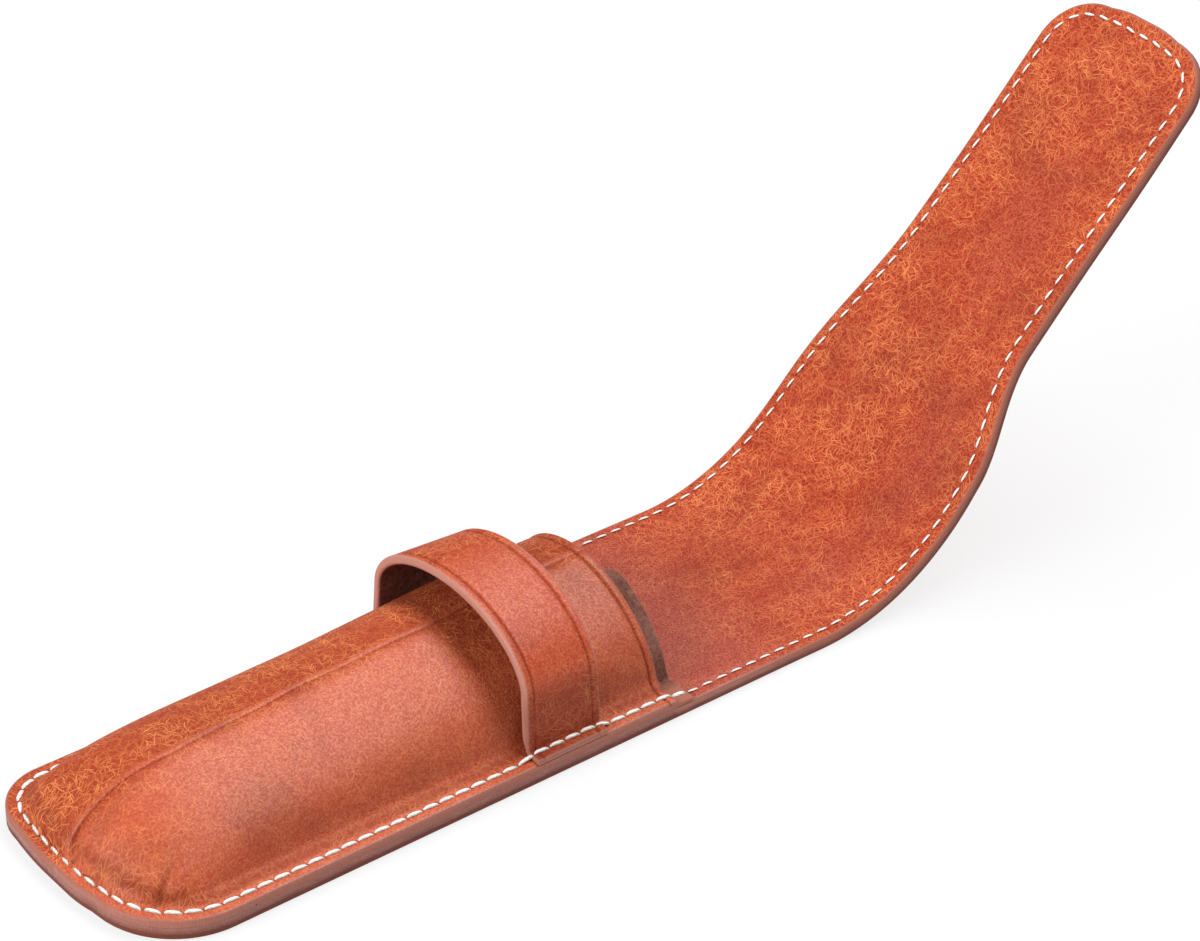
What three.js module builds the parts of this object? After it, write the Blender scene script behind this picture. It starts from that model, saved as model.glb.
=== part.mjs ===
// Leather flap pen case, lying on its back with the flap standing open.
// Millimetres, +Z up. X runs across the case, Y from the tail to the flap's tip.
// The origin is on the resting face, in the middle of the pocket's mouth.
import * as THREE from 'three';

// The back and its lining: one long sheet each, measured along the lining from the mouth.
// The margins are from the cut edge to the stitches.
const STITCH_PITCH = 3.85;
const POCKET_MARGIN = 2.6;
const FLAP_MARGIN = 3.2;
const BODY_WIDTH = 58.4;
const POCKET_LENGTH = 126.4;
const TAIL_RADIUS = 16;
const FLAP_LENGTH = 187;
const SHOULDER_START = 80;
const SHOULDER_LENGTH = 40;
const TONGUE_WIDTH = 44.6;
const TIP_WIDTH = 43.4;
const TIP_RADIUS = 13;
const END_BOW = 1;

// Leather and thread
const OUTER_THICKNESS = 1.4;
const LINING_THICKNESS = 1.4;
const SHELL_THICKNESS = 1.6;
const STRAP_THICKNESS = 1.9;
const STRAP_FOOT_THICKNESS = 1;
const DIVIDER_THICKNESS = 1.2;
const DIVIDER_MARGIN_THICKNESS = 0.7;
const SKIVE_LENGTH = 1.5;
const THREAD_WIDTH = 0.9;
const THREAD_HEIGHT = 0.55;
const GLUE_GAP = 0.05;
const THREAD_SEAT = 0.1;
const THREAD_CLEARANCE = 0.1;

// The flap's side profile: where the lining bends, over what length, and by how many degrees
const RISE_START = 38.5;
const RISE_LENGTH = 44;
const RISE_ANGLE = 54;
const RELAX_START = 88;
const RELAX_LENGTH = 18;
const RELAX_ANGLE = -8;

// The fold lines across the flap, in stitches from the mouth, and the room that they leave
const FIRST_FOLD_STITCH = 11;
const FOLD_SPACING_STITCHES = 4;
const FOLD_COUNT = 4;
const FOLD_GAP = 0.3;
const FOLD_OPENING_ANGLE = 7;

// The wet-moulded front: a dome whose foot runs out over a flat flange, with its ridge off centre.
// A fullness of 2 is an ellipse, less is leaner and more is squarer.
const FLANGE_WIDTH = 6.4;
const TAIL_FLANGE_WIDTH = 3.7;
const FOOT_WIDTH = 2.9;
const FOOT_HEIGHT = 2.5;
const DOME_HEIGHT_MOUTH = 19.5;
const DOME_HEIGHT_TAIL = 13.1;
const DOME_TAIL_LENGTH = 34;
const RIDGE_OFFSET = -1.8;
const NEAR_FULLNESS = 1.75;
const FAR_FULLNESS = 2.4;
const TAIL_FULLNESS = 2.5;

// The strap that keeps the flap's tongue: the stitches that hold it, counted from the mouth, how far its
// mouth edge lies behind the first of their holes, and its room over the front
const STRAP_START_STITCH = 4;
const STRAP_STITCHES = 5;
const STRAP_SET_BACK = 0.8;
const STRAP_EDGE_CLEARANCE = 0.2;
const STRAP_SIDE_GAP = 0.7;
const STRAP_BEND_HEIGHT = 3.2;
const STRAP_SIDE_HEIGHT = 12.5;
const STRAP_GAP = 8.3;

// The divider between the two bays
const DIVIDER_REACH_STITCHES = 1;
const DIVIDER_CLEARANCE = 0.35;
const DIVIDER_TAIL_CLEARANCE = 21;
const DIVIDER_TURN_ANGLE = 66;
const DIVIDER_TURN_RADIUS = 6;
const DIVIDER_FOOT_ANGLE = 12;
const DIVIDER_LEG_HEADING = 270;
const DIVIDER_FLOOR_GAP = 1.2;

// Heights above the resting face that the layers add up to
const SHEET_TOP = OUTER_THICKNESS + GLUE_GAP + LINING_THICKNESS;
const FLANGE_BOTTOM = SHEET_TOP + GLUE_GAP;
const FLANGE_TOP = FLANGE_BOTTOM + SHELL_THICKNESS;
const STRAP_FOOT_BOTTOM = FLANGE_TOP + GLUE_GAP;
const STRAP_FOOT_TOP = STRAP_FOOT_BOTTOM + STRAP_FOOT_THICKNESS;
const DIVIDER_MARGIN_TOP = FLANGE_BOTTOM + DIVIDER_MARGIN_THICKNESS;
const SKIVED_FLANGE_BOTTOM = DIVIDER_MARGIN_TOP + GLUE_GAP;

// Places along the sheet that several pieces share
const HALF_BODY = BODY_WIDTH / 2;
const SHOULDER_END = SHOULDER_START + SHOULDER_LENGTH;
const FOLDS = Array.from({ length: FOLD_COUNT }, (_, fold) => (
  (FIRST_FOLD_STITCH + fold * FOLD_SPACING_STITCHES) * STITCH_PITCH
));
const DIVIDER_MOUTH_END = DIVIDER_REACH_STITCHES * STITCH_PITCH;
const STRAP_MOUTH_EDGE = -STRAP_START_STITCH * STITCH_PITCH;
const STRAP_TAIL_EDGE = STRAP_MOUTH_EDGE - STRAP_STITCHES * STITCH_PITCH;
const HALF_DOME = HALF_BODY - FLANGE_WIDTH;
const FOOT_EDGE = HALF_DOME + FOOT_WIDTH;
const SEAM_INNER_EDGE = HALF_BODY - POCKET_MARGIN - THREAD_WIDTH / 2 - THREAD_CLEARANCE;
const DOME_TAIL_FOOT = TAIL_FLANGE_WIDTH - POCKET_LENGTH;
const DOME_TAIL_START = DOME_TAIL_FOOT + DOME_TAIL_LENGTH;
const DIVIDER_TAIL_END = DOME_TAIL_FOOT + DIVIDER_TAIL_CLEARANCE;
const SKIVE_END = DIVIDER_TAIL_END - SKIVE_LENGTH;

// How finely curves are stepped
const SHEET_STEP = 4;
const CORNER_STEPS = 6;
const BOW_STEPS = 3;
const SEAM_STEPS = 40;
const SEAM_BOW_STEPS = 4;
const DOME_STEPS = 20;
const DOME_ROW_STEP = 14;
const FOOT_STEPS = 4;
const STRAP_STEPS = 22;
const DIVIDER_TURN_STEPS = 6;
const DIVIDER_WALL_STEPS = 8;
const SLOPE_STEP = 0.01;
const END_FLAT_SHARE = 0.25;

// The thread's shape along one stitch, as shares of the stitch and of the thread's full section
const STITCH_END_SHARE = 0.1;
const SWELL_START_SHARE = 0.2;
const SWELL_END_SHARE = 0.8;
const HOLE_HEIGHT_SHARE = 0.35;
const HOLE_WIDTH_SHARE = 0.74;
const CROWN_WIDTH_SHARE = 0.6;

const OUTER_LEATHER = new THREE.MeshStandardMaterial({ color: 0xb5522f, roughness: 0.55, metalness: 0 });
const LINING_LEATHER = new THREE.MeshStandardMaterial({ color: 0xbd5c33, roughness: 0.6, metalness: 0 });
const MOULDED_LEATHER = new THREE.MeshStandardMaterial({ color: 0xb9583a, roughness: 0.45, metalness: 0 });
const FLESH_SIDE = new THREE.MeshStandardMaterial({ color: 0x8a4a34, roughness: 0.85, metalness: 0 });
const THREAD = new THREE.MeshStandardMaterial({ color: 0xf1ede2, roughness: 0.7, metalness: 0 });

const pencase = new THREE.Group();

function radians(degrees) {
  return THREE.MathUtils.degToRad(degrees);
}

// Numbers from one to the other in equal steps, both ends included
function spread(from, to, steps) {
  return Array.from({ length: steps + 1 }, (_, step) => from + (to - from) * step / steps);
}

// A closed body from rows of points on its top and bottom faces, as many points in every row.
// Seen from above, points run to the right and rows run forward.
function bandGeometry(rows) {
  const columns = rows[0].top.length;
  const last = rows.length - 1;
  const points = rows.flatMap((row) => [...row.top, ...row.bottom]);
  const positions = points.flatMap((point) => point.toArray());
  const top = (row, column) => row * columns * 2 + column;
  const bottom = (row, column) => top(row, column) + columns;
  const indices = [];
  const quad = (a, b, c, d) => indices.push(a, b, c, a, c, d);
  for (let row = 0; row < last; row += 1) {
    for (let column = 0; column < columns - 1; column += 1) {
      const [next, right] = [row + 1, column + 1];
      quad(top(row, column), top(row, right), top(next, right), top(next, column));
      quad(bottom(row, column), bottom(next, column), bottom(next, right), bottom(row, right));
    }
    quad(bottom(row, 0), top(row, 0), top(row + 1, 0), bottom(row + 1, 0));
    const side = columns - 1;
    quad(top(row, side), bottom(row, side), bottom(row + 1, side), top(row + 1, side));
  }
  for (let column = 0; column < columns - 1; column += 1) {
    quad(bottom(0, column), bottom(0, column + 1), top(0, column + 1), top(0, column));
    quad(top(last, column), top(last, column + 1), bottom(last, column + 1), bottom(last, column));
  }
  const geometry = new THREE.BufferGeometry();
  geometry.setAttribute('position', new THREE.Float32BufferAttribute(positions, 3));
  geometry.setIndex(indices);
  geometry.computeVertexNormals();
  return geometry;
}

function addPiece(name, rows, material) {
  const mesh = new THREE.Mesh(bandGeometry(rows), material);
  mesh.name = name;
  pencase.add(mesh);
}

// Half the width of a strip at a distance from its end, which is slightly bowed and has round corners
function roundedEnd(distance, half, radius) {
  const flat = half - radius;
  const inside = Math.max(distance, 0);
  if (inside < END_BOW) {
    return flat * (END_FLAT_SHARE + (1 - END_FLAT_SHARE) * Math.sqrt(inside / END_BOW));
  }
  const short = radius - Math.min(inside - END_BOW, radius);
  return flat + Math.sqrt(radius * radius - short * short);
}

// Distances from such an end at which the outline needs a point
function endDistances(radius) {
  const bow = spread(0, 1, BOW_STEPS).map((share) => END_BOW * share * share);
  const corner = spread(0, Math.PI / 2, CORNER_STEPS).slice(1);
  return [...bow, ...corner.map((angle) => END_BOW + radius * (1 - Math.cos(angle)))];
}

// Half the width of the long sheet, which narrows at its shoulders to the flap's tongue
function halfWidth(along) {
  if (along < SHOULDER_START) {
    return roundedEnd(along + POCKET_LENGTH, HALF_BODY, TAIL_RADIUS);
  }
  const ease = THREE.MathUtils.smoothstep(along, SHOULDER_START, SHOULDER_END);
  const taper = Math.max(0, (along - SHOULDER_END) / (FLAP_LENGTH - SHOULDER_END));
  const tongue = THREE.MathUtils.lerp(TONGUE_WIDTH, TIP_WIDTH, taper) / 2;
  const half = THREE.MathUtils.lerp(HALF_BODY, tongue, ease);
  return roundedEnd(FLAP_LENGTH - along, half, TIP_RADIUS);
}

// The lining's face in side view: position, heading in degrees, and the direction that it faces
const SIDE_RUNS = [
  { end: RISE_START, turn: 0 },
  { end: RISE_START + RISE_LENGTH, turn: RISE_ANGLE },
  { end: RELAX_START, turn: 0 },
  { end: RELAX_START + RELAX_LENGTH, turn: RELAX_ANGLE },
  { end: FLAP_LENGTH, turn: 0 },
];

function onLining(along) {
  let y = Math.min(along, 0);
  let z = SHEET_TOP;
  let heading = 0;
  let from = 0;
  for (const run of SIDE_RUNS) {
    const length = THREE.MathUtils.clamp(along - from, 0, run.end - from);
    const turn = radians(run.turn) * length / (run.end - from);
    const chord = turn === 0 ? length : length * Math.sin(turn / 2) / (turn / 2);
    y += chord * Math.cos(heading + turn / 2);
    z += chord * Math.sin(heading + turn / 2);
    heading += turn;
    from = run.end;
  }
  const ahead = new THREE.Vector3(0, Math.cos(heading), Math.sin(heading));
  const facing = new THREE.Vector3(0, -Math.sin(heading), Math.cos(heading));
  return { point: new THREE.Vector3(0, y, z), ahead, facing };
}

// Places along the sheet at which a piece of it needs a row
function sheetPlaces(from, to) {
  const tail = endDistances(TAIL_RADIUS).map((distance) => distance - POCKET_LENGTH);
  const tip = endDistances(TIP_RADIUS).map((distance) => FLAP_LENGTH - distance);
  const even = spread(from, to, Math.ceil((to - from) / SHEET_STEP));
  const plain = even.filter((along) => along > tail.at(-1) && along < tip.at(-1));
  const places = [from, to, ...tail, ...plain, ...tip].filter((along) => along >= from && along <= to);
  return [...new Set(places)].sort((a, b) => a - b);
}

// A stretch of one layer of the sheet. At a fold its end is cut back, more at the outer face.
function sheetRows(from, to, depth, thickness) {
  const openings = { [from]: 1, [to]: -1 };
  return sheetPlaces(from, to).map((along) => {
    const { point, ahead, facing } = onLining(along);
    const isFold = FOLDS.includes(along);
    const face = (below) => {
      const cut = FOLD_GAP / 2 + below * Math.tan(radians(FOLD_OPENING_ANGLE));
      const shift = isFold ? openings[along] * cut : 0;
      const middle = point.clone().addScaledVector(facing, -below).addScaledVector(ahead, shift);
      const half = halfWidth(along);
      return [-half, half].map((x) => middle.clone().setX(x));
    };
    return { top: face(depth), bottom: face(depth + thickness) };
  });
}

function addSheet(prefix, depth, thickness, material) {
  const cuts = [-POCKET_LENGTH, ...FOLDS, FLAP_LENGTH];
  const last = cuts.length - 2;
  for (let part = 0; part <= last; part += 1) {
    const middleName = part === last ? 'tongue' : `bend_${part}`;
    const name = part === 0 ? 'back' : middleName;
    addPiece(`${prefix}_${name}`, sheetRows(cuts[part], cuts[part + 1], depth, thickness), material);
  }
}

// Height of a rounded form over its half width, both as shares
function rise(share, fullness) {
  return (1 - Math.min(Math.abs(share), 1) ** fullness) ** (1 / fullness);
}

// The moulded front: a flat flange round three sides, and a dome that is lower at the tail
function domeHeight(y, tailLength) {
  const height = THREE.MathUtils.mapLinear(y, DOME_TAIL_FOOT, 0, DOME_HEIGHT_TAIL, DOME_HEIGHT_MOUTH);
  return height * rise(Math.max((DOME_TAIL_START - y) / tailLength, 0), TAIL_FULLNESS);
}

function domeHalf(y, inset) {
  const tailInset = inset - FLANGE_WIDTH + TAIL_FLANGE_WIDTH;
  const plan = roundedEnd(y + POCKET_LENGTH - tailInset, HALF_BODY - inset, TAIL_RADIUS - inset);
  return Math.min(plan, halfWidth(y) * (HALF_BODY - inset) / HALF_BODY);
}

function domePoint(y, angle, base, half, height) {
  const share = Math.cos(angle);
  const ridge = RIDGE_OFFSET * half / HALF_DOME;
  const reach = share > 0 ? half - ridge : half + ridge;
  const fullness = share > 0 ? NEAR_FULLNESS : FAR_FULLNESS;
  return new THREE.Vector3(ridge + share * reach, y, base + height * rise(share, fullness));
}

// A hollow bend from a flat place up to the foot of a wall, without the wall's own point
function footBend(flat, wall) {
  return spread(0, Math.PI / 2, FOOT_STEPS).slice(0, -1).map((angle) => new THREE.Vector3(
    THREE.MathUtils.lerp(flat.x, wall.x, Math.sin(angle)),
    flat.y,
    THREE.MathUtils.lerp(flat.z, wall.z, 1 - Math.cos(angle)),
  ));
}

function shellFace(y, base, half, height, footShare, nearBase) {
  const edge = halfWidth(y);
  const footEdge = half + (edge - half) * FOOT_WIDTH / FLANGE_WIDTH;
  const farAngle = Math.PI - Math.acos(rise(footShare, FAR_FULLNESS));
  const nearAngle = Math.acos(rise(footShare, NEAR_FULLNESS));
  const angles = spread(farAngle, nearAngle, DOME_STEPS);
  const dome = angles.map((angle) => domePoint(y, angle, base, half, height));
  dome.at(-1).z += nearBase - base;
  const farFoot = footBend(new THREE.Vector3(-footEdge, y, base), dome[0]);
  const nearFoot = footBend(new THREE.Vector3(footEdge, y, nearBase), dome.at(-1)).reverse();
  return [
    new THREE.Vector3(-edge, y, base),
    ...farFoot,
    ...dome,
    ...nearFoot,
    new THREE.Vector3(edge, y, nearBase),
  ];
}

function shellRow(y) {
  const outerHeight = domeHeight(y, DOME_TAIL_LENGTH);
  const innerHeight = domeHeight(y, DOME_TAIL_LENGTH - SHELL_THICKNESS);
  const innerHalf = domeHalf(y, FLANGE_WIDTH + SHELL_THICKNESS);
  const nearBottom = y < DIVIDER_TAIL_END ? FLANGE_BOTTOM : SKIVED_FLANGE_BOTTOM;
  const footShare = FOOT_HEIGHT / DOME_HEIGHT_MOUTH;
  return {
    top: shellFace(y, FLANGE_TOP, domeHalf(y, FLANGE_WIDTH), outerHeight, footShare, FLANGE_TOP),
    bottom: shellFace(y, FLANGE_BOTTOM, innerHalf, innerHeight, 0, nearBottom),
  };
}

// Rows that the front and what follows its wall share
function domePlaces() {
  const edge = endDistances(TAIL_RADIUS).map((distance) => distance - POCKET_LENGTH);
  const close = spread(0, Math.PI / 2, CORNER_STEPS).map((angle) => (
    DOME_TAIL_START - DOME_TAIL_LENGTH * Math.cos(angle)
  ));
  const inside = DOME_TAIL_FOOT + SHELL_THICKNESS;
  const body = spread(DOME_TAIL_START, 0, Math.ceil(-DOME_TAIL_START / DOME_ROW_STEP));
  const flange = edge.filter((y) => y < DOME_TAIL_FOOT);
  const places = [...flange, ...close, inside, SKIVE_END, DIVIDER_TAIL_END, ...body];
  return [...new Set(places)].sort((a, b) => a - b);
}

function addShell() {
  addPiece('front_shell', domePlaces().map(shellRow), MOULDED_LEATHER);
}

// The strap: thinned feet on the flange, upright sides and an arch clear of the dome
function strapRow(y) {
  const inner = HALF_DOME + STRAP_SIDE_GAP;
  const outer = inner + STRAP_THICKNESS;
  const spring = FLANGE_TOP + STRAP_SIDE_HEIGHT;
  const innerTop = FLANGE_TOP + domeHeight(y, DOME_TAIL_LENGTH) + STRAP_GAP;
  const arch = (half, top) => spread(Math.PI, 0, STRAP_STEPS).map((angle) => (
    new THREE.Vector3(half * Math.cos(angle), y, spring + (top - spring) * Math.sin(angle))
  ));
  const face = (half, top, foot, bendEdge) => {
    const bend = (side) => [
      ...footBend(
        new THREE.Vector3(side * bendEdge, y, foot),
        new THREE.Vector3(side * half, y, foot + STRAP_BEND_HEIGHT),
      ),
      new THREE.Vector3(side * half, y, foot + STRAP_BEND_HEIGHT),
    ];
    return [
      new THREE.Vector3(-HALF_BODY, y, foot),
      ...bend(-1),
      ...arch(half, top),
      ...bend(1).reverse(),
      new THREE.Vector3(HALF_BODY, y, foot),
    ];
  };
  return {
    top: face(outer, innerTop + STRAP_THICKNESS, STRAP_FOOT_TOP, SEAM_INNER_EDGE),
    bottom: face(inner, innerTop, STRAP_FOOT_BOTTOM, FOOT_EDGE),
  };
}

function addStrap() {
  const tailRow = strapRow(STRAP_TAIL_EDGE + STRAP_EDGE_CLEARANCE);
  const mouthRow = strapRow(STRAP_MOUTH_EDGE - STRAP_SET_BACK);
  addPiece('keeper_strap', [tailRow, mouthRow], MOULDED_LEATHER);
}

// The divider, from its free edge between the bays, over the near bay and into the near seam
function dividerPath(y) {
  const inside = Math.min(y, 0);
  const room = DIVIDER_CLEARANCE + DIVIDER_THICKNESS / 2;
  const half = HALF_DOME - SHELL_THICKNESS - room;
  const height = domeHeight(inside, DOME_TAIL_LENGTH - SHELL_THICKNESS) - room;
  const wall = (angle) => {
    const point = domePoint(y, angle, FLANGE_BOTTOM, half, height);
    return new THREE.Vector2(point.x, point.z);
  };
  const turnAngle = radians(DIVIDER_TURN_ANGLE);
  const leave = wall(turnAngle);
  const before = wall(turnAngle - SLOPE_STEP);
  const start = Math.atan2(leave.y - before.y, leave.x - before.x);
  const centre = new THREE.Vector2(
    leave.x - DIVIDER_TURN_RADIUS * Math.sin(start),
    leave.y + DIVIDER_TURN_RADIUS * Math.cos(start),
  );
  const leg = radians(DIVIDER_LEG_HEADING);
  const turn = spread(start, leg, DIVIDER_TURN_STEPS).map((heading) => new THREE.Vector2(
    centre.x + DIVIDER_TURN_RADIUS * Math.sin(heading),
    centre.y - DIVIDER_TURN_RADIUS * Math.cos(heading),
  ));
  const free = new THREE.Vector2(turn.at(-1).x, FLANGE_BOTTOM + DIVIDER_FLOOR_GAP);
  const climb = spread(turnAngle, radians(DIVIDER_FOOT_ANGLE), DIVIDER_WALL_STEPS).slice(1).map(wall);
  const margin = FLANGE_BOTTOM + DIVIDER_MARGIN_THICKNESS / 2;
  const foot = [half + room, HALF_BODY].map((x) => new THREE.Vector2(x, margin));
  return { leather: [free, ...turn.reverse(), ...climb], foot };
}

function dividerRow(y) {
  const { leather, foot } = dividerPath(y);
  const path = [...leather, ...foot];
  const faces = path.map((point, index) => {
    const next = path[Math.min(index + 1, path.length - 1)];
    const ahead = next.clone().sub(path[Math.max(index - 1, 0)]).normalize();
    const isFoot = index >= leather.length;
    const up = isFoot ? new THREE.Vector2(0, 1) : new THREE.Vector2(-ahead.y, ahead.x);
    const half = (isFoot ? DIVIDER_MARGIN_THICKNESS : DIVIDER_THICKNESS) / 2;
    return [half, -half].map((offset) => (
      new THREE.Vector3(point.x + up.x * offset, y, point.y + up.y * offset)
    ));
  });
  return { top: faces.map((pair) => pair[0]), bottom: faces.map((pair) => pair[1]) };
}

function addDivider() {
  const inside = domePlaces().filter((y) => y >= DIVIDER_TAIL_END);
  const places = [...inside, DIVIDER_MOUTH_END - STRAP_EDGE_CLEARANCE];
  addPiece('bay_divider', places.map(dividerRow), FLESH_SIDE);
}

// The seam on the flat sheet: a line inside the edge, from the near side round an end to the far side
function seamRound(end, half, radius, margin, direction) {
  const inner = radius - margin;
  const flat = half - radius;
  const cornerAlong = end - direction * (END_BOW + radius);
  const corner = spread(0, Math.PI / 2, CORNER_STEPS * 2).map((angle) => new THREE.Vector2(
    flat + inner * Math.cos(angle),
    cornerAlong + direction * inner * Math.sin(angle),
  ));
  const bow = spread(flat, 0, SEAM_BOW_STEPS).slice(1).map((x) => new THREE.Vector2(
    x,
    end - direction * (margin + END_BOW * (x / flat) * (x / flat)),
  ));
  const near = [...corner, ...bow];
  const far = near.slice(0, -1).reverse().map((point) => new THREE.Vector2(-point.x, point.y));
  return [...near, ...far];
}

// Points one stitch apart along a line on the flat sheet, from its first point to its last
function stitchHoles(line) {
  const lengths = line.slice(1).map((point, index) => point.distanceTo(line[index]));
  const total = lengths.reduce((sum, length) => sum + length, 0);
  const count = Math.round(total / STITCH_PITCH);
  let index = 0;
  let passed = 0;
  return spread(0, total, count).map((distance) => {
    while (index < lengths.length - 1 && passed + lengths[index] < distance) {
      passed += lengths[index];
      index += 1;
    }
    return line[index].clone().lerp(line[index + 1], (distance - passed) / lengths[index]);
  });
}

function sideLine(from, to, side) {
  return spread(from, to, SEAM_STEPS).map((along) => {
    const ease = THREE.MathUtils.smoothstep(along, SHOULDER_START, SHOULDER_END);
    const margin = THREE.MathUtils.lerp(POCKET_MARGIN, FLAP_MARGIN, ease);
    return new THREE.Vector2(side * (halfWidth(along) - margin), along);
  });
}

// How far the seam's top layer stands above the lining at a place on the sheet
function seamLevel(place) {
  const { x, y: along } = place;
  if (along > DIVIDER_MOUTH_END || (along > 0 && x < 0)) {
    return 0;
  }
  if (along > 0) {
    return DIVIDER_MARGIN_TOP - SHEET_TOP;
  }
  const underStrap = along < STRAP_MOUTH_EDGE && along > STRAP_TAIL_EDGE;
  return (underStrap ? STRAP_FOOT_TOP : FLANGE_TOP) - SHEET_TOP;
}

// A run of saddle stitches: the thread swells over each stitch and dips at each hole
function threadRings(holes) {
  const levels = holes.slice(1).map((hole, index) => seamLevel(hole.clone().lerp(holes[index], 0.5)));
  const rings = levels.flatMap((level, index) => {
    const [from, to] = [holes[index], holes[index + 1]];
    const ahead = to.clone().sub(from).normalize();
    const holeLevel = Math.max(level, levels[Math.max(index - 1, 0)]);
    const holeShare = index === 0 ? STITCH_END_SHARE : 0;
    return [
      { place: from.clone().lerp(to, holeShare), ahead, isHole: true, level: holeLevel },
      { place: from.clone().lerp(to, SWELL_START_SHARE), ahead, isHole: false, level },
      { place: from.clone().lerp(to, SWELL_END_SHARE), ahead, isHole: false, level },
    ];
  });
  const finish = holes.at(-1).clone().lerp(holes.at(-2), STITCH_END_SHARE);
  return [...rings, { ...rings.at(-1), place: finish, isHole: true }];
}

function threadRows(holes) {
  return threadRings(holes).map(({ place, ahead, isHole, level }) => {
    const { point, ahead: alongSheet, facing } = onLining(place.y);
    const right = new THREE.Vector3(ahead.y, 0, 0).addScaledVector(alongSheet, -ahead.x);
    const base = point.clone().setX(place.x).addScaledVector(facing, level + THREAD_SEAT);
    const half = THREAD_WIDTH / 2 * (isHole ? HOLE_WIDTH_SHARE : 1);
    const tall = THREAD_HEIGHT * (isHole ? HOLE_HEIGHT_SHARE : 1);
    const edge = (width, height) => [-width, width].map((side) => (
      base.clone().addScaledVector(right, side).addScaledVector(facing, height)
    ));
    return { top: edge(half * CROWN_WIDTH_SHARE, tall), bottom: edge(half, 0) };
  });
}

function addThread() {
  const tail = seamRound(-POCKET_LENGTH, HALF_BODY, TAIL_RADIUS, POCKET_MARGIN, -1);
  const tailSide = HALF_BODY - POCKET_MARGIN;
  const pocket = stitchHoles([new THREE.Vector2(tailSide, 0), ...tail, new THREE.Vector2(-tailSide, 0)]);
  const nearNeck = stitchHoles(sideLine(FOLDS[0], 0, 1));
  const farNeck = stitchHoles(sideLine(0, FOLDS[0], -1));
  const pocketHoles = [...nearNeck.slice(0, -1), ...pocket, ...farNeck.slice(1)];
  addPiece('thread_pocket', threadRows(pocketHoles), THREAD);
  for (let bend = 1; bend < FOLD_COUNT; bend += 1) {
    const [from, to] = [FOLDS[bend - 1], FOLDS[bend]];
    addPiece(`thread_near_${bend}`, threadRows(stitchHoles(sideLine(from, to, 1))), THREAD);
    addPiece(`thread_far_${bend}`, threadRows(stitchHoles(sideLine(from, to, -1))), THREAD);
  }
  const tip = seamRound(FLAP_LENGTH, TIP_WIDTH / 2, TIP_RADIUS, FLAP_MARGIN, 1);
  const nearTongue = sideLine(FOLDS.at(-1), FLAP_LENGTH - END_BOW - TIP_RADIUS, 1).slice(0, -1);
  const farTongue = nearTongue.map((point) => new THREE.Vector2(-point.x, point.y)).reverse();
  addPiece('thread_tongue', threadRows(stitchHoles([...nearTongue, ...tip, ...farTongue])), THREAD);
}

addSheet('outer', LINING_THICKNESS + GLUE_GAP, OUTER_THICKNESS, OUTER_LEATHER);
addSheet('lining', 0, LINING_THICKNESS, LINING_LEATHER);
addShell();
addStrap();
addDivider();
addThread();

export default pencase;
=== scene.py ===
"""Looks of a leather flap pen case: stitched back and flap, moulded front, keeper strap and divider.

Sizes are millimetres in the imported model's frame: X across the case, Y from tail to flap, Z up.
"""
import logging
import math
from collections.abc import Sequence
from dataclasses import dataclass, field
from enum import Enum

import bpy
import numpy as np
from mathutils import Matrix, Vector
from mathutils.kdtree import KDTree


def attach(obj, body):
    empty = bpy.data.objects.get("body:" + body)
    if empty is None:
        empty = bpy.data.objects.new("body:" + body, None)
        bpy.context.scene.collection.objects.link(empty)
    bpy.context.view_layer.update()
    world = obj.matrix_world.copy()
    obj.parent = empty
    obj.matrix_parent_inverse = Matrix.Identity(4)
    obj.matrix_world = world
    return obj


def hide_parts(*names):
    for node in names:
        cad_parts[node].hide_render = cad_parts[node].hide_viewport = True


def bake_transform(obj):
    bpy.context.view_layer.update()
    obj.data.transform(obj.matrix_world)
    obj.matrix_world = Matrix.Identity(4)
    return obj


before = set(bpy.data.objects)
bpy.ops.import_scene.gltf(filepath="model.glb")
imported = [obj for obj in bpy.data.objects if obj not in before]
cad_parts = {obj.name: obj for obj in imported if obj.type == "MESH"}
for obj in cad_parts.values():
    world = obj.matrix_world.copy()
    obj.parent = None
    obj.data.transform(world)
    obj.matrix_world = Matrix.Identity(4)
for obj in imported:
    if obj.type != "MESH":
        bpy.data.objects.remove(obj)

log = logging.getLogger("pen_case")
Array = np.ndarray
Colour = tuple[float, float, float, float]
MM = 0.001


class Slot(str, Enum):
    """The record's material slots."""

    OUTER = "outer_leather"
    LINING = "lining_leather"
    MOULDED = "moulded_leather"
    FLESH = "flesh_leather"
    THREAD = "thread"


class Body(str, Enum):
    """The bodies that the flap's folds join, from the pocket to the tongue."""

    POCKET = "pocket"
    BEND_1 = "bend_1"
    BEND_2 = "bend_2"
    BEND_3 = "bend_3"
    TONGUE = "tongue"


CHAIN = list(Body)


def smooth(low: float, high: float, value: Array) -> Array:
    """Rises smoothly from 0 at low to 1 at high."""
    share = np.clip((value - low) / (high - low), 0.0, 1.0)
    return share * share * (3.0 - 2.0 * share)


def bell(distance: Array, width: float) -> Array:
    """A soft bump of height 1 round distance 0."""
    return np.exp(-((distance / width) ** 2))


def rise(share: Array, fullness: float) -> Array:
    """Height of a rounded form over its half width, both as shares."""
    return (1.0 - np.minimum(np.abs(share), 1.0) ** fullness) ** (1.0 / fullness)


def edge_drop(distance: Array, radius: float) -> Array:
    """How far a face falls towards a rounded edge.

    Args:
        distance: distance from the edge.
        radius: radius of the rounding.

    Returns:
        The drop, from radius at the edge to 0 where the rounding ends.
    """
    inside = radius - np.clip(distance, 0.0, radius)
    return radius - np.sqrt(radius * radius - inside * inside)


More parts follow.
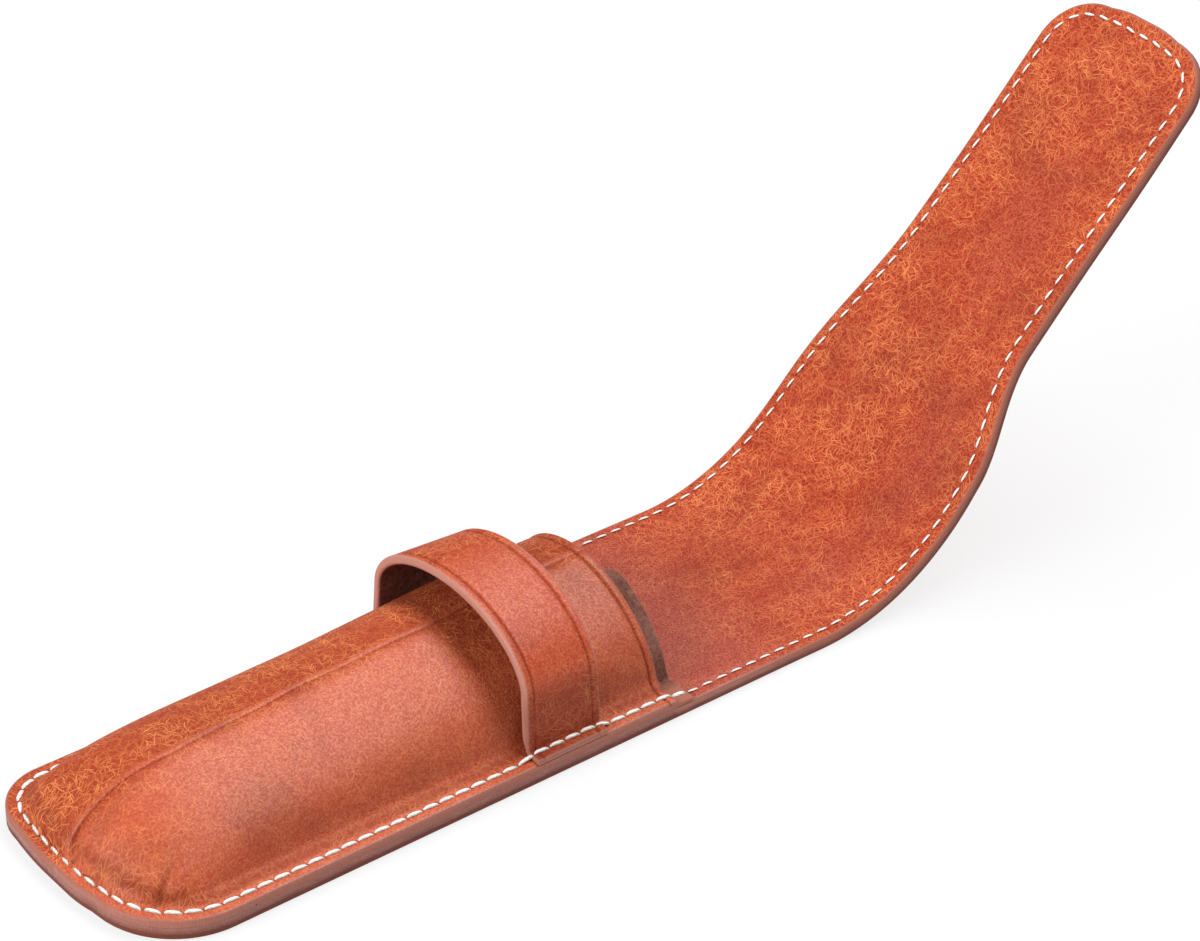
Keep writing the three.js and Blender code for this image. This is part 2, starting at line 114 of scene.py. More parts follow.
def nearest(points: Array, places: Array) -> Array:
    """Distance from each place to the nearest of some points.

    Args:
        points: n x 2 points to look among.
        places: an array of places whose last axis is x, y.

    Returns:
        Distances, shaped as places without its last axis.
    """
    tree = KDTree(len(points))
    for index, point in enumerate(points):
        tree.insert((point[0], point[1], 0.0), index)
    tree.balance()
    distances = [tree.find((place[0], place[1], 0.0))[2] for place in places.reshape(-1, 2)]
    return np.array(distances).reshape(places.shape[:-1])


class Value:
    """A shader socket on which Python operators add Math nodes."""

    def __init__(self, graph: "Graph", socket: bpy.types.NodeSocket) -> None:
        """Wraps a socket of a graph."""
        self.graph = graph
        self.socket = socket

    def also(self, output: str) -> "Value":
        """Another output of the same node."""
        return Value(self.graph, self.socket.node.outputs[output])

    def math(self, operation: str, *values: object) -> "Value":
        """Adds one Math node with these values in order."""
        return self.graph.node("ShaderNodeMath", {"operation": operation}, dict(enumerate(values)))

    def __add__(self, other: object) -> "Value":
        """This plus other."""
        return self.math("ADD", self, other)

    __radd__ = __add__

    def __mul__(self, other: object) -> "Value":
        """This times other."""
        return self.math("MULTIPLY", self, other)

    __rmul__ = __mul__

    def __sub__(self, other: object) -> "Value":
        """This minus other."""
        return self.math("SUBTRACT", self, other)

    def __rsub__(self, other: object) -> "Value":
        """Other minus this."""
        return self.math("SUBTRACT", other, self)

    def __abs__(self) -> "Value":
        """This without its sign."""
        return self.math("ABSOLUTE", self)

    def most(self, other: object) -> "Value":
        """The larger of this and other."""
        return self.math("MAXIMUM", self, other)

    def smooth(self, low: float, high: float) -> "Value":
        """Rises smoothly from 0 at low to 1 at high."""
        return self.graph.node(
            "ShaderNodeMapRange",
            {"interpolation_type": "SMOOTHSTEP"},
            {"Value": self, "From Min": low, "From Max": high},
        )


class Graph:
    """The nodes of one material."""

    def __init__(self, name: str) -> None:
        """Starts an empty material.

        Args:
            name: the material's name.
        """
        self.material = bpy.data.materials.new(name)
        self.material.use_nodes = True
        self.tree = self.material.node_tree
        self.tree.nodes.clear()

    def node(
        self,
        kind: str,
        settings: dict[str, object],
        inputs: dict[str | int, object],
        output: str | int = 0,
    ) -> Value:
        """Adds any node.

        Args:
            kind: the node's type.
            settings: the node's own settings, set first.
            inputs: values or links of its sockets, by name or number.
            output: the output to hand back.

        Returns:
            The chosen output.
        """
        made = self.tree.nodes.new(kind)
        for key, value in settings.items():
            setattr(made, key, value)
        for key, value in inputs.items():
            if isinstance(value, Value):
                self.tree.links.new(value.socket, made.inputs[key])
            else:
                made.inputs[key].default_value = value
        return Value(self, made.outputs[output])

    def attribute(self, name: str, output: str = "Vector") -> Value:
        """A vector or a number that the mesh carries."""
        return self.node("ShaderNodeAttribute", {"attribute_name": name}, {}, output)

    def part(self, vector: Value, axis: str) -> Value:
        """One axis of a vector."""
        return self.node("ShaderNodeSeparateXYZ", {}, {0: vector}, axis)

    def moved(self, vector: Value, scale: Sequence[float], offset: object) -> Value:
        """A vector scaled on each axis and then moved by an offset."""
        inputs = {0: vector, 1: scale, 2: offset}
        return self.node("ShaderNodeVectorMath", {"operation": "MULTIPLY_ADD"}, inputs)

    def noise(self, place: Value, scale: float, detail: float = 2.0, distortion: float = 0.0) -> Value:
        """A soft noise at this many features a millimetre."""
        inputs = {"Vector": place, "Scale": scale, "Detail": detail, "Distortion": distortion}
        return self.node("ShaderNodeTexNoise", {}, inputs)

    def mix(self, factor: object, first: object, second: object) -> Value:
        """A colour between two colours."""
        return self.node("ShaderNodeMix", {"data_type": "RGBA"}, {0: factor, 6: first, 7: second}, 2)

    def surface(
        self, colour: Value, roughness: Value, height: Value, depth: float, **others: object
    ) -> None:
        """Ends the graph in a Principled shader.

        Args:
            colour: base colour.
            roughness: roughness.
            height: bump height, from 0 to 1.
            depth: millimetres that a height of 1 stands for.
            **others: values or links of the shader's other sockets, with _ for spaces.
        """
        bump = self.node("ShaderNodeBump", {}, {"Height": height, "Distance": depth * MM, "Strength": 1.0})
        inputs = {"Base Color": colour, "Roughness": roughness, "Normal": bump}
        inputs.update({key.replace("_", " "): value for key, value in others.items()})
        self.finish(self.node("ShaderNodeBsdfPrincipled", {}, inputs))

    def finish(self, shader: Value) -> None:
        """Links a shader to the material's output."""
        output = self.tree.nodes.new("ShaderNodeOutputMaterial")
        self.tree.links.new(shader.socket, output.inputs["Surface"])


@dataclass(frozen=True)
class LeatherFinish:
    """Vegetable-tanned leather: a mottled ground, brushed-up hairs, fine grain and a burnished edge.

    Scales are features a millimetre, and a hair's sizes are millimetres.
    """

    name: str
    ground: Colour
    tone: Colour
    hair: Colour
    hair_cover: float
    stain: float
    grain_depth: float
    roughness: float
    specular: float
    coat: float = 0.0
    coat_roughness: float = 0.4
    under_hair: Colour = (0.30, 0.022, 0.006, 1.0)
    under_hair_cover: float = 0.0
    stained: Colour = (0.20, 0.035, 0.014, 1.0)
    edge_light: Colour = (0.38, 0.135, 0.093, 1.0)
    edge_dark: Colour = (0.18, 0.042, 0.026, 1.0)
    # hole is the colour that painted shade darkens towards, at stitch holes and elsewhere.
    hole: Colour = (0.09, 0.016, 0.008, 1.0)
    hair_spacing: float = 2.7
    hair_width: float = 0.12
    hair_layers: int = 15
    hair_curl: float = 0.45
    hair_sway: float = 0.8
    layer_step: tuple[float, float] = (17.3, 31.7)
    sway_scale: float = 0.5
    grain_scale: float = 3.0
    fuzz_scale: float = 2.0
    patch_scale: float = 0.13
    clear_scale: float = 0.05
    stain_scale: float = 0.06

    def hair_layer(self, graph: Graph, place: Value, layer: int) -> Value:
        """One layer of scattered hairs, each turned and curled its own way.

        Args:
            graph: the material's graph.
            place: flat coordinates in millimetres.
            layer: the layer's number, which moves its pattern.

        Returns:
            Up to 1 on a hair and 0 off it.
        """
        step_x, step_y = self.layer_step
        here = graph.moved(place, (1, 1, 0), (step_x * layer, step_y * layer, 0.0))
        inputs = {"Vector": here, "Scale": 1.0 / self.hair_spacing}
        root = graph.node("ShaderNodeTexVoronoi", {"voronoi_dimensions": "2D"}, inputs, "Position")
        turn, curl, light = (graph.part(root.also("Color"), axis) for axis in "XYZ")
        offset = graph.node("ShaderNodeVectorMath", {"operation": "SUBTRACT"}, {0: here, 1: root})
        settings = {"rotation_type": "Z_AXIS"}
        turned = graph.node("ShaderNodeVectorRotate", settings, {"Vector": offset, "Angle": turn * math.tau})
        ahead, aside = graph.part(turned, "X"), graph.part(turned, "Y")
        away = abs(aside - ahead * ahead * ((curl - 0.5) * self.hair_curl))
        body = 1.0 - away.smooth(0.3 * self.hair_width, self.hair_width)
        tip = 1.0 - abs(ahead).smooth(0.3 * self.hair_spacing, 0.6 * self.hair_spacing)
        return body * tip * (0.2 + light * light * 0.8)

    def hairs(self, graph: Graph, place: Value) -> Value:
        """All layers of hairs, on coordinates that sway a little.

        Args:
            graph: the material's graph.
            place: flat coordinates in millimetres.

        Returns:
            Up to 1 on a hair and 0 off it.
        """
        inputs = {"Vector": place, "Scale": self.sway_scale, "Detail": 1.0}
        sway = graph.node("ShaderNodeTexNoise", {}, inputs, "Color")
        swayed = graph.moved(sway, (self.hair_sway,) * 3, place)
        hairs = self.hair_layer(graph, swayed, 1)
        for layer in range(2, self.hair_layers + 1):
            hairs = hairs.most(self.hair_layer(graph, swayed, layer))
        return hairs

    def material(self) -> bpy.types.Material:
        """Builds the leather's nodes.

        Returns:
            The material.
        """
        graph = Graph(self.name)
        place = graph.attribute("pattern")
        finish = graph.attribute("finish")
        edge, shade, level = (graph.part(finish, axis) for axis in "XYZ")
        brushed = graph.attribute("brushed", "Fac")
        patch = graph.noise(place, self.patch_scale, 3.0, 0.6).smooth(0.34, 0.62)
        elsewhere = graph.moved(place, (1, 1, 1), (31.0, 17.0, 5.0))
        clear = graph.noise(elsewhere, self.clear_scale).smooth(0.5, 0.66)
        elsewhere = graph.moved(place, (1, 1, 1), (-12.0, 8.0, 3.0))
        blotch = graph.noise(elsewhere, self.stain_scale, 3.0, 0.4).smooth(0.48, 0.68) * self.stain
        fuzz = graph.noise(place, self.fuzz_scale, 3.0, 0.4)
        inputs = {"Vector": place, "Scale": self.grain_scale}
        grain = graph.node("ShaderNodeTexVoronoi", {"feature": "SMOOTH_F1"}, inputs)
        hairs = self.hairs(graph, place) * (0.5 + patch * 0.5) * (1.0 - clear * 0.4) * brushed
        mottle = (fuzz * 1.9 - grain * 0.9 + patch * brushed * 0.15 - 0.28).smooth(0.05, 0.85)
        base = graph.mix(mottle, self.ground, self.tone)
        base = graph.mix(blotch, base, self.stained)
        base = graph.mix(brushed.smooth(0.5, 1.0) * self.under_hair_cover, base, self.under_hair)
        base = graph.mix(hairs * self.hair_cover, base, self.hair)
        streak = graph.noise(graph.moved(place, (0.25, 0.25, 2.2), (0, 0, 0)), 1.0)
        # Painted highlight and shade: cut edges are lighter towards the top of the stack and darker towards
        # the bottom, partly the layers' own tones.
        rim = graph.mix((level + streak * 0.4 - 0.2).smooth(0.2, 0.8), self.edge_dark, self.edge_light)
        base = graph.mix(edge, base, rim)
        # Painted shade: the shade attribute darkens the colour towards hole, standing for shade in stitch
        # holes, creases and hollows and for the strap's shadow.
        base = graph.mix(shade, base, self.hole)
        rough = self.roughness + brushed * 0.2 + (fuzz - 0.5) * 0.2 + blotch * 0.15
        polish = 1.0 - grain.smooth(0.15, 0.6) * 0.6
        bare = (1.0 - brushed.smooth(0.35, 0.95)) * (1.0 - shade.smooth(0.05, 0.5))
        graph.surface(
            base,
            rough,
            fuzz * 0.6 - grain * 0.6,
            self.grain_depth,
            Specular_IOR_Level=self.specular,
            Coat_Weight=bare * polish * self.coat,
            Coat_Roughness=self.coat_roughness,
        )
        return graph.material


@dataclass(frozen=True)
class FleshFinish:
    """The rough inner side of the leather."""

    name: str = "flesh_side"
    dark: Colour = (0.13, 0.042, 0.029, 1.0)
    light: Colour = (0.35, 0.15, 0.11, 1.0)
    edge: Colour = (0.42, 0.15, 0.105, 1.0)

    def material(self) -> bpy.types.Material:
        """Builds the flesh side's nodes.

        Returns:
            The material.
        """
        graph = Graph(self.name)
        place = graph.attribute("pattern")
        finish = graph.attribute("finish")
        nap = graph.noise(place, 1.1, 5.0, 0.8)
        cloud = graph.noise(place, 0.09, 3.0)
        base = graph.mix((nap * 0.7 + cloud * 0.5 - 0.1).smooth(0.25, 0.8), self.dark, self.light)
        base = graph.mix(graph.part(finish, "X"), base, self.edge)
        graph.surface(base, 0.8 + nap * 0.15, nap, 0.3, Specular_IOR_Level=0.25)
        return graph.material


@dataclass(frozen=True)
class ThreadFinish:
    """Waxed cream thread with a visible twist."""

    name: str = "cream_thread"
    light: Colour = (0.99, 0.98, 0.94, 1.0)
    dark: Colour = (0.94, 0.89, 0.80, 1.0)

    def material(self) -> bpy.types.Material:
        """Builds the thread's nodes.

        Returns:
            The material.
        """
        graph = Graph(self.name)
        place = graph.attribute("pattern")
        ply = graph.node(
            "ShaderNodeTexWave",
            {"bands_direction": "DIAGONAL"},
            {"Vector": place, "Scale": 0.55, "Distortion": 0.6, "Detail": 1.0},
            "Fac",
        )
        soil = graph.noise(place, 0.35, 2.0)
        base = graph.mix((ply * 0.5 + soil * 0.8).smooth(0.1, 0.75), self.dark, self.light)
        graph.surface(base, 0.5 + soil * 0.2, ply, 0.05, Specular_IOR_Level=0.3)
        return graph.material


@dataclass
class Finishes:
    """The materials, each made once."""

    outer: bpy.types.Material = field(init=False)
    lining: bpy.types.Material = field(init=False)
    moulded: bpy.types.Material = field(init=False)
    strap: bpy.types.Material = field(init=False)
    flesh: bpy.types.Material = field(init=False)
    thread: bpy.types.Material = field(init=False)

    def __post_init__(self) -> None:
        """Builds every finish of the case."""
        self.outer = LeatherFinish(
            "outer_grain",
            ground=(0.36, 0.040, 0.014, 1.0),
            tone=(0.54, 0.090, 0.034, 1.0),
            hair=(0.80, 0.26, 0.10, 1.0),
            hair_cover=0.7,
            stain=0.3,
            grain_depth=0.07,
            roughness=0.48,
            specular=0.25,
        ).material()
        self.lining = LeatherFinish(
            "lining_grain",
            ground=(0.31, 0.022, 0.008, 1.0),
            tone=(0.58, 0.084, 0.031, 1.0),
            hair=(0.86, 0.29, 0.096, 1.0),
            hair_cover=0.95,
            stain=0.25,
            grain_depth=0.06,
            roughness=0.42,
            specular=0.2,
            coat=1.0,
        ).material()
        self.moulded = LeatherFinish(
            "moulded_grain",
            ground=(0.50, 0.074, 0.028, 1.0),
            tone=(0.68, 0.148, 0.066, 1.0),
            hair=(0.92, 0.32, 0.10, 1.0),
            hair_cover=0.95,
            under_hair_cover=0.6,
            stain=0.3,
            grain_depth=0.2,
            roughness=0.42,
            specular=0.15,
            coat=1.0,
            grain_scale=2.5,
        ).material()
        self.strap = LeatherFinish(
            "strap_grain",
            ground=(0.46, 0.050, 0.015, 1.0),
            tone=(0.66, 0.118, 0.038, 1.0),
            hair=(0.90, 0.30, 0.10, 1.0),
            hair_cover=0.9,
            under_hair_cover=0.6,
            stain=0.2,
            grain_depth=0.14,
            roughness=0.42,
            specular=0.22,
            coat=1.0,
            edge_light=(0.52, 0.22, 0.165, 1.0),
            grain_scale=2.5,
        ).material()
        self.flesh = FleshFinish().material()
        self.thread = ThreadFinish().material()


@dataclass
class Skin:
    """A closed piece of leather between a face and a back, both on one grid of points."""

    name: str
    face: Array
    back: Array
    pattern: Array
    edge: Array
    shade: Array
    brushed: Array
    level_face: Array
    level_back: Array
    blank_thickness: float = 0.1
    weld_distance: float = 1e-7
    smooth_angle: float = 50.0
    pattern_depth: float = 2.0

    def turned_over(self) -> "Skin":
        """The same leather with its back as its face.

        Returns:
            The turned piece, with its columns in the other order.
        """
        flip = (slice(None), slice(None, None, -1))
        return Skin(
            self.name,
            face=self.back[flip],
            back=self.face[flip],
            pattern=self.pattern[flip],
            edge=self.edge[flip],
            shade=self.shade[flip],
            brushed=self.brushed[flip],
            level_face=self.level_back[flip],
            level_back=self.level_face[flip],
        )

    def build(
        self, face_material: bpy.types.Material, back_material: bpy.types.Material
    ) -> bpy.types.Object:
        """Shapes a thickened grid to the two faces.

        Args:
            face_material: finish of the face and the cut edges.
            back_material: finish of the back.

        Returns:
            The finished piece.
        """
        rows, columns = self.face.shape[:2]
        bpy.ops.object.select_all(action="DESELECT")
        bpy.ops.mesh.primitive_grid_add(x_subdivisions=columns - 1, y_subdivisions=rows - 1, size=1.0)
        piece = bpy.context.active_object
        piece.name = self.name
        piece.data.name = self.name
        thickness = piece.modifiers.new("thickness", "SOLIDIFY")
        thickness.thickness = self.blank_thickness
        thickness.offset = -1.0
        bpy.ops.object.modifier_apply(modifier=thickness.name)
        self.shape(piece.data, rows, columns)
        # Where a full round brings face and back together, their points become one.
        weld = piece.modifiers.new("round_edges", "WELD")
        weld.merge_threshold = self.weld_distance
        bpy.ops.object.modifier_apply(modifier=weld.name)
        piece.data.materials.append(face_material)
        piece.data.materials.append(back_material)
        bpy.ops.object.shade_smooth_by_angle(angle=math.radians(self.smooth_angle))
        return piece

    def shape(self, mesh: bpy.types.Mesh, rows: int, columns: int) -> None:
        """Moves a flat thick grid's points to the two faces and stores what the finishes read.

        Args:
            mesh: the thick grid, one unit wide.
            rows: points along the piece.
            columns: points across it.
        """
        flat = np.empty(len(mesh.vertices) * 3, np.float32)
        mesh.vertices.foreach_get("co", flat)
        flat = flat.reshape(-1, 3)
        column = np.rint((flat[:, 0] + 0.5) * (columns - 1)).astype(int)
        row = np.rint((flat[:, 1] + 0.5) * (rows - 1)).astype(int)
        is_face = flat[:, 2] > -self.blank_thickness / 2
        place = np.where(is_face[:, None], self.face[row, column], self.back[row, column]) * MM
        mesh.vertices.foreach_set("co", place.astype(np.float32).ravel())
        level = np.where(is_face, self.level_face[row, column], self.level_back[row, column])
        pattern = self.pattern[row, column]
        pattern[:, 2] += level * self.pattern_depth
        shade = np.where(is_face, self.shade[row, column], 0.0)
        finish = np.stack([self.edge[row, column], shade, level], 1)
        for name, values in (("pattern", pattern), ("finish", finish)):
            attribute = mesh.attributes.new(name, "FLOAT_VECTOR", "POINT")
            attribute.data.foreach_set("vector", values.astype(np.float32).ravel())
        attribute = mesh.attributes.new("brushed", "FLOAT", "POINT")
        attribute.data.foreach_set("value", self.brushed[row, column].astype(np.float32))
        corners = np.empty(len(mesh.loops), np.int32)
        mesh.loops.foreach_get("vertex_index", corners)
        starts = np.empty(len(mesh.polygons), np.int32)
        mesh.polygons.foreach_get("loop_start", starts)
        on_back = ~np.logical_or.reduceat(is_face[corners], starts)
        mesh.polygons.foreach_set("material_index", on_back.astype(np.int32))
        mesh.update()


def normals(grid: Array) -> Array:
    """Unit normals of a grid of points whose columns run to the right and rows run forward.

    Args:
        grid: rows x columns x 3 points.

    Returns:
        The normals, shaped as the grid.
    """
    across = np.gradient(grid, axis=1)
    along = np.gradient(grid, axis=0)
    normal = np.cross(across, along)
    return normal / np.maximum(np.linalg.norm(normal, axis=2, keepdims=True), 1e-9)


def lengths_across(grid: Array) -> Array:
    """Length along each row of a grid of points, from its first point."""
    steps = np.linalg.norm(np.diff(grid, axis=1), axis=2)
    return np.concatenate([np.zeros((len(grid), 1)), np.cumsum(steps, 1)], 1)


EDGE_INSETS = (0.0, 0.07, 0.18, 0.36, 0.6, 0.95, 1.35, 1.7, 2.0, 2.2, 2.4, 2.75, 3.2)
CREASE_INSETS = (0.0, 0.07, 0.18, 0.36, 0.6, 1.0, 1.4, 1.7, 1.85, 2.0, 2.15, 2.3, 2.6, 3.2)


@dataclass(frozen=True)
class Side:
    """One long side of the sheet, as it was cut by hand."""

    sign: int
    tail_radius: float
    shoulder_start: float
    shoulder_length: float
    tongue_half: float
    tip_half: float
    flap_margin: float


@dataclass(frozen=True)
class Outline:
    """The long sheets: their flat outline, their seam and the side profile that the flap is bent to.

    Each run of the profile says where it ends along the sheet and how many degrees it turns.
    """

    pitch: float = 3.85
    pocket_margin: float = 2.5
    tip_margin: float = 3.5
    margin_change: tuple[float, float] = (60.0, 115.0)
    tip_seam: tuple[float, float] = (172.0, 184.0)
    tip_seam_half: float = 20.0
    body_width: float = 58.4
    pocket_length: float = 126.4
    flap_length: float = 187.4
    near: Side = Side(
        sign=1,
        tail_radius=19.0,
        shoulder_start=86.0,
        shoulder_length=29.0,
        tongue_half=22.4,
        tip_half=22.0,
        flap_margin=3.05,
    )
    far: Side = Side(
        sign=-1,
        tail_radius=12.0,
        shoulder_start=73.5,
        shoulder_length=54.0,
        tongue_half=21.9,
        tip_half=21.4,
        flap_margin=2.5,
    )
    tip_radius: float = 12.0
    end_bow: float = 1.0
    end_flat_share: float = 0.25
    sheet_thickness: float = 1.42
    sheet_gap: float = 0.01
    front_thickness: float = 1.6
    seam_gap: float = 0.05
    runs: tuple[tuple[float, float], ...] = (
        (38.5, 0.0),
        (82.5, 54.0),
        (88.0, 0.0),
        (106.0, -8.0),
        (200.0, 0.0),
    )
    cut_stitches: tuple[int, ...] = (9, 13, 17, 21, 25)
    wave: float = 0.28
    wave_start: tuple[float, float] = (15.0, 60.0)
    rows_per_stitch: int = 8
    row_steps: tuple[int, int] = (15, 6)
    row_turn: float = 30.0
    line_steps: tuple[int, int] = (600, 200)
    line_step: float = 0.04
    seam_stride: int = 10

    @property
    def lining_face(self) -> float:
        """Height of the lining's face over the table."""
        return 2.0 * self.sheet_thickness + self.sheet_gap

    @property
    def flange_top(self) -> float:
        """Height of the front's sewn flange over the table."""
        return self.lining_face + self.seam_gap + self.front_thickness

    @property
    def cuts(self) -> list[float]:
        """Places along the sheet where one stretch ends and the next starts."""
        return [stitch * self.pitch for stitch in self.cut_stitches]

    def rounded_end(self, distance: Array, half: Array, radius: float) -> Array:
        """Half width at a distance from a slightly bowed end with round corners.

        Args:
            distance: distance from the end.
            half: half width where the corner has ended.
            radius: radius of the corner.

        Returns:
            Half width at each distance.
        """
        flat = half - radius
        inside = np.maximum(distance, 0.0)
        into_bow = np.sqrt(np.minimum(inside / self.end_bow, 1.0))
        bowed = self.end_flat_share + (1.0 - self.end_flat_share) * into_bow
        short = radius - np.clip(inside - self.end_bow, 0.0, radius)
        return np.where(inside < self.end_bow, flat * bowed, flat + np.sqrt(radius**2 - short**2))

    def half_width(self, along: Array, side: Side) -> Array:
        """The sheet's width from its middle line to one side.

        Args:
            along: places along the sheet.
            side: the near or the far side.

        Returns:
            Width at each place.
        """
        body = self.body_width / 2
        shoulder_end = side.shoulder_start + side.shoulder_length
        taper = np.maximum(0.0, (along - shoulder_end) / (self.flap_length - shoulder_end))
        tongue = side.tongue_half + (side.tip_half - side.tongue_half) * taper
        half = body + (tongue - body) * smooth(side.shoulder_start, shoulder_end, along)
        tail = self.rounded_end(along + self.pocket_length, body, side.tail_radius)
        tip = self.rounded_end(self.flap_length - along, half, self.tip_radius)
        return np.where(along < 0.0, tail, tip)

    def margin(self, x: Array, along: Array) -> Array:
        """Distance from the cut edge to the stitches.

        Args:
            x: places across the sheet.
            along: places along it.

        Returns:
            Distance at each place.
        """
        near = smooth(-self.tip_seam_half, self.tip_seam_half, x)
        flap = self.far.flap_margin + (self.near.flap_margin - self.far.flap_margin) * near
        sides = self.pocket_margin + (flap - self.pocket_margin) * smooth(*self.margin_change, along)
        at_tip = smooth(*self.tip_seam, along) * (1.0 - np.abs(2.0 * near - 1.0))
        return sides + (self.tip_margin - sides) * at_tip

    def end_distances(self, radius: float, corner_steps: int, bow_steps: int, most: float) -> Array:
        """Distances from an end at which the outline needs points.

        Args:
            radius: radius of the corners.
            corner_steps: steps over a quarter turn.
            bow_steps: steps over the bowed end.
            most: largest turn of the corner to step through, in degrees.

        Returns:
            The distances, from 0.
        """
        bow = self.end_bow * np.linspace(0.0, 1.0, bow_steps + 1) ** 2
        turn = np.radians(np.arange(1, corner_steps + 1) * 90.0 / corner_steps)
        turn = turn[turn <= math.radians(most) + 1e-6]
        return np.concatenate([bow, self.end_bow + radius * (1.0 - np.cos(turn))])

    def places(self) -> Array:
        """Places along the sheet at which its grid has a row.

        Returns:
            The places, from the tail to the tip.
        """
        tail = self.end_distances(self.near.tail_radius, *self.row_steps, self.row_turn) - self.pocket_length
        tip = self.flap_length - self.end_distances(self.tip_radius, *self.row_steps, self.row_turn)
        step = self.pitch / self.rows_per_stitch
        even = np.arange(math.ceil(tail[-1] / step) + 1, math.floor(tip[-1] / step)) * step
        return np.concatenate([tail, even, tip[::-1]])

    def boundary(self, end: int) -> Array:
        """The cut edge from the near side of the mouth round one end to the far side.

        Args:
            end: 1 for the tip, -1 for the tail.

        Returns:
            n x 2 points, x and place along.
        """
        length = self.flap_length if end > 0 else self.pocket_length
        sides = []
        for side in (self.near, self.far):
            radius = self.tip_radius if end > 0 else side.tail_radius
            distances = self.end_distances(radius, *self.line_steps, 90.0)
            straight = np.arange(distances[-1] + self.line_step, length, self.line_step)
            along = end * (length - np.concatenate([distances, straight]))
            sides.append(np.stack([side.sign * self.half_width(along, side), along], 1))
        flat = np.linspace(sides[0][0], sides[1][0], self.line_steps[1])[1:-1]
        return np.concatenate([sides[0][::-1], flat, sides[1]])

    def holes(self, end: int) -> Array:
        """Stitch holes from the near side of the mouth round one end to the far side.

        Args:
            end: 1 for the tip, -1 for the tail.

        Returns:
            n x 2 points, x and place along.
        """
        line = self.boundary(end)[:: self.seam_stride]
        ahead = np.gradient(line, axis=0)
        ahead /= np.linalg.norm(ahead, axis=1, keepdims=True)
        inward = np.stack([-ahead[:, 1], ahead[:, 0]], 1) * end
        seam = line + inward * self.margin(line[:, 0], line[:, 1])[:, None]
        length = np.concatenate([[0.0], np.cumsum(np.linalg.norm(np.diff(seam, axis=0), axis=1))])
        stops = np.linspace(0.0, length[-1], round(length[-1] / self.pitch) + 1)
        return np.stack([np.interp(stops, length, seam[:, axis]) for axis in (0, 1)], 1)

    def profile(self, along: Array) -> tuple[Array, Array, Array]:
        """The lining's face in side view.

        Args:
            along: places along the sheet.

        Returns:
            y, z and heading in radians.
        """
        y = np.minimum(along, 0.0)
        z = np.full_like(y, self.lining_face)
        heading = np.zeros_like(y)
        start = 0.0
        for end, degrees in self.runs:
            length = np.clip(along - start, 0.0, end - start)
            turn = math.radians(degrees) * length / (end - start)
            chord = length * np.sinc(turn / 2 / math.pi)
            y = y + chord * np.cos(heading + turn / 2)
            z = z + chord * np.sin(heading + turn / 2)
            heading = heading + turn
            start = end
        return y, z, heading

    def lift(self, x: Array, along: Array, height: Array) -> Array:
        """Points at a height over the lining's face, on the bent and slightly wavy sheet.

        Args:
            x: places across the sheet.
            along: places along it.
            height: heights over the lining's face.

        Returns:
            Points in millimetres, on a new last axis.
        """
        y, z, heading = self.profile(along)
        wavy = np.sin(along * 0.083 + x * 0.05) * np.cos(along * 0.031 - x * 0.09)
        height = height + self.wave * smooth(*self.wave_start, along) * wavy
        points = (x, y - height * np.sin(heading), z + height * np.cos(heading))
        return np.stack(np.broadcast_arrays(*points), -1)

    def middle(self, along: float) -> tuple[float, ...]:
        """The middle of the lining's face at a place along, in metres."""
        return tuple(self.lift(np.array(0.0), np.array(along), np.array(0.0)) * MM)


@dataclass
class SheetGrid:
    """The flat grid that the outer leather and the lining share."""

    outline: Outline
    inner_columns: int = 30
    narrow_half: float = 9.0

    def __post_init__(self) -> None:
        """Lays out the grid and measures each point's distance from the edge and from the stitch holes."""
        outline = self.outline
        self.rows = outline.places()
        insets = np.array(EDGE_INSETS)
        inner = np.linspace(-1.0, 1.0, self.inner_columns + 2)[1:-1]
        near = outline.half_width(self.rows, outline.near)[:, None]
        far = outline.half_width(self.rows, outline.far)[:, None]
        near_edge = near - insets[::-1] * np.minimum(near / self.narrow_half, 1.0)
        far_edge = -far + insets * np.minimum(far / self.narrow_half, 1.0)
        middle = far_edge[:, -1:] + (near_edge[:, :1] - far_edge[:, -1:]) * (inner + 1.0) / 2.0
        self.x = np.concatenate([far_edge, middle, near_edge], 1)
        self.along = np.repeat(self.rows[:, None], self.x.shape[1], 1)
        flat = np.stack([self.x, self.along], 2)
        edge = np.concatenate([outline.boundary(1), outline.boundary(-1)])
        self.edge_distance = nearest(edge, flat)
        self.edge_distance[:, [0, -1]] = 0.0
        self.edge_distance[[0, -1], :] = 0.0
        self.holes = np.concatenate([outline.holes(1), outline.holes(-1)])
        self.hole_distance = nearest(self.holes, flat)


SEAM_DEPTH, SEAM_WIDTH = 0.1, 0.75
HOLE_DEPTH, HOLE_WIDTH = 0.2, 0.4


def seam_relief(edge_distance: Array, hole_distance: Array, margin: Array) -> Array:
    """How deep the thread has drawn the leather in along the seam."""
    seam = SEAM_DEPTH * bell(edge_distance - margin, SEAM_WIDTH)
    return seam + HOLE_DEPTH * bell(hole_distance, HOLE_WIDTH)


@dataclass(frozen=True)
class BarePatch:
    """A place where the brushed-up hairs are worn away."""

    x: float
    along: float
    half_width: float
    half_length: float
    amount: float

    def left(self, x: Array, along: Array) -> Array:
        """The share of the hairs that is left at each place."""
        distance = np.hypot((x - self.x) / self.half_width, (along - self.along) / self.half_length)
        return 1.0 - self.amount * bell(distance, 1.0)


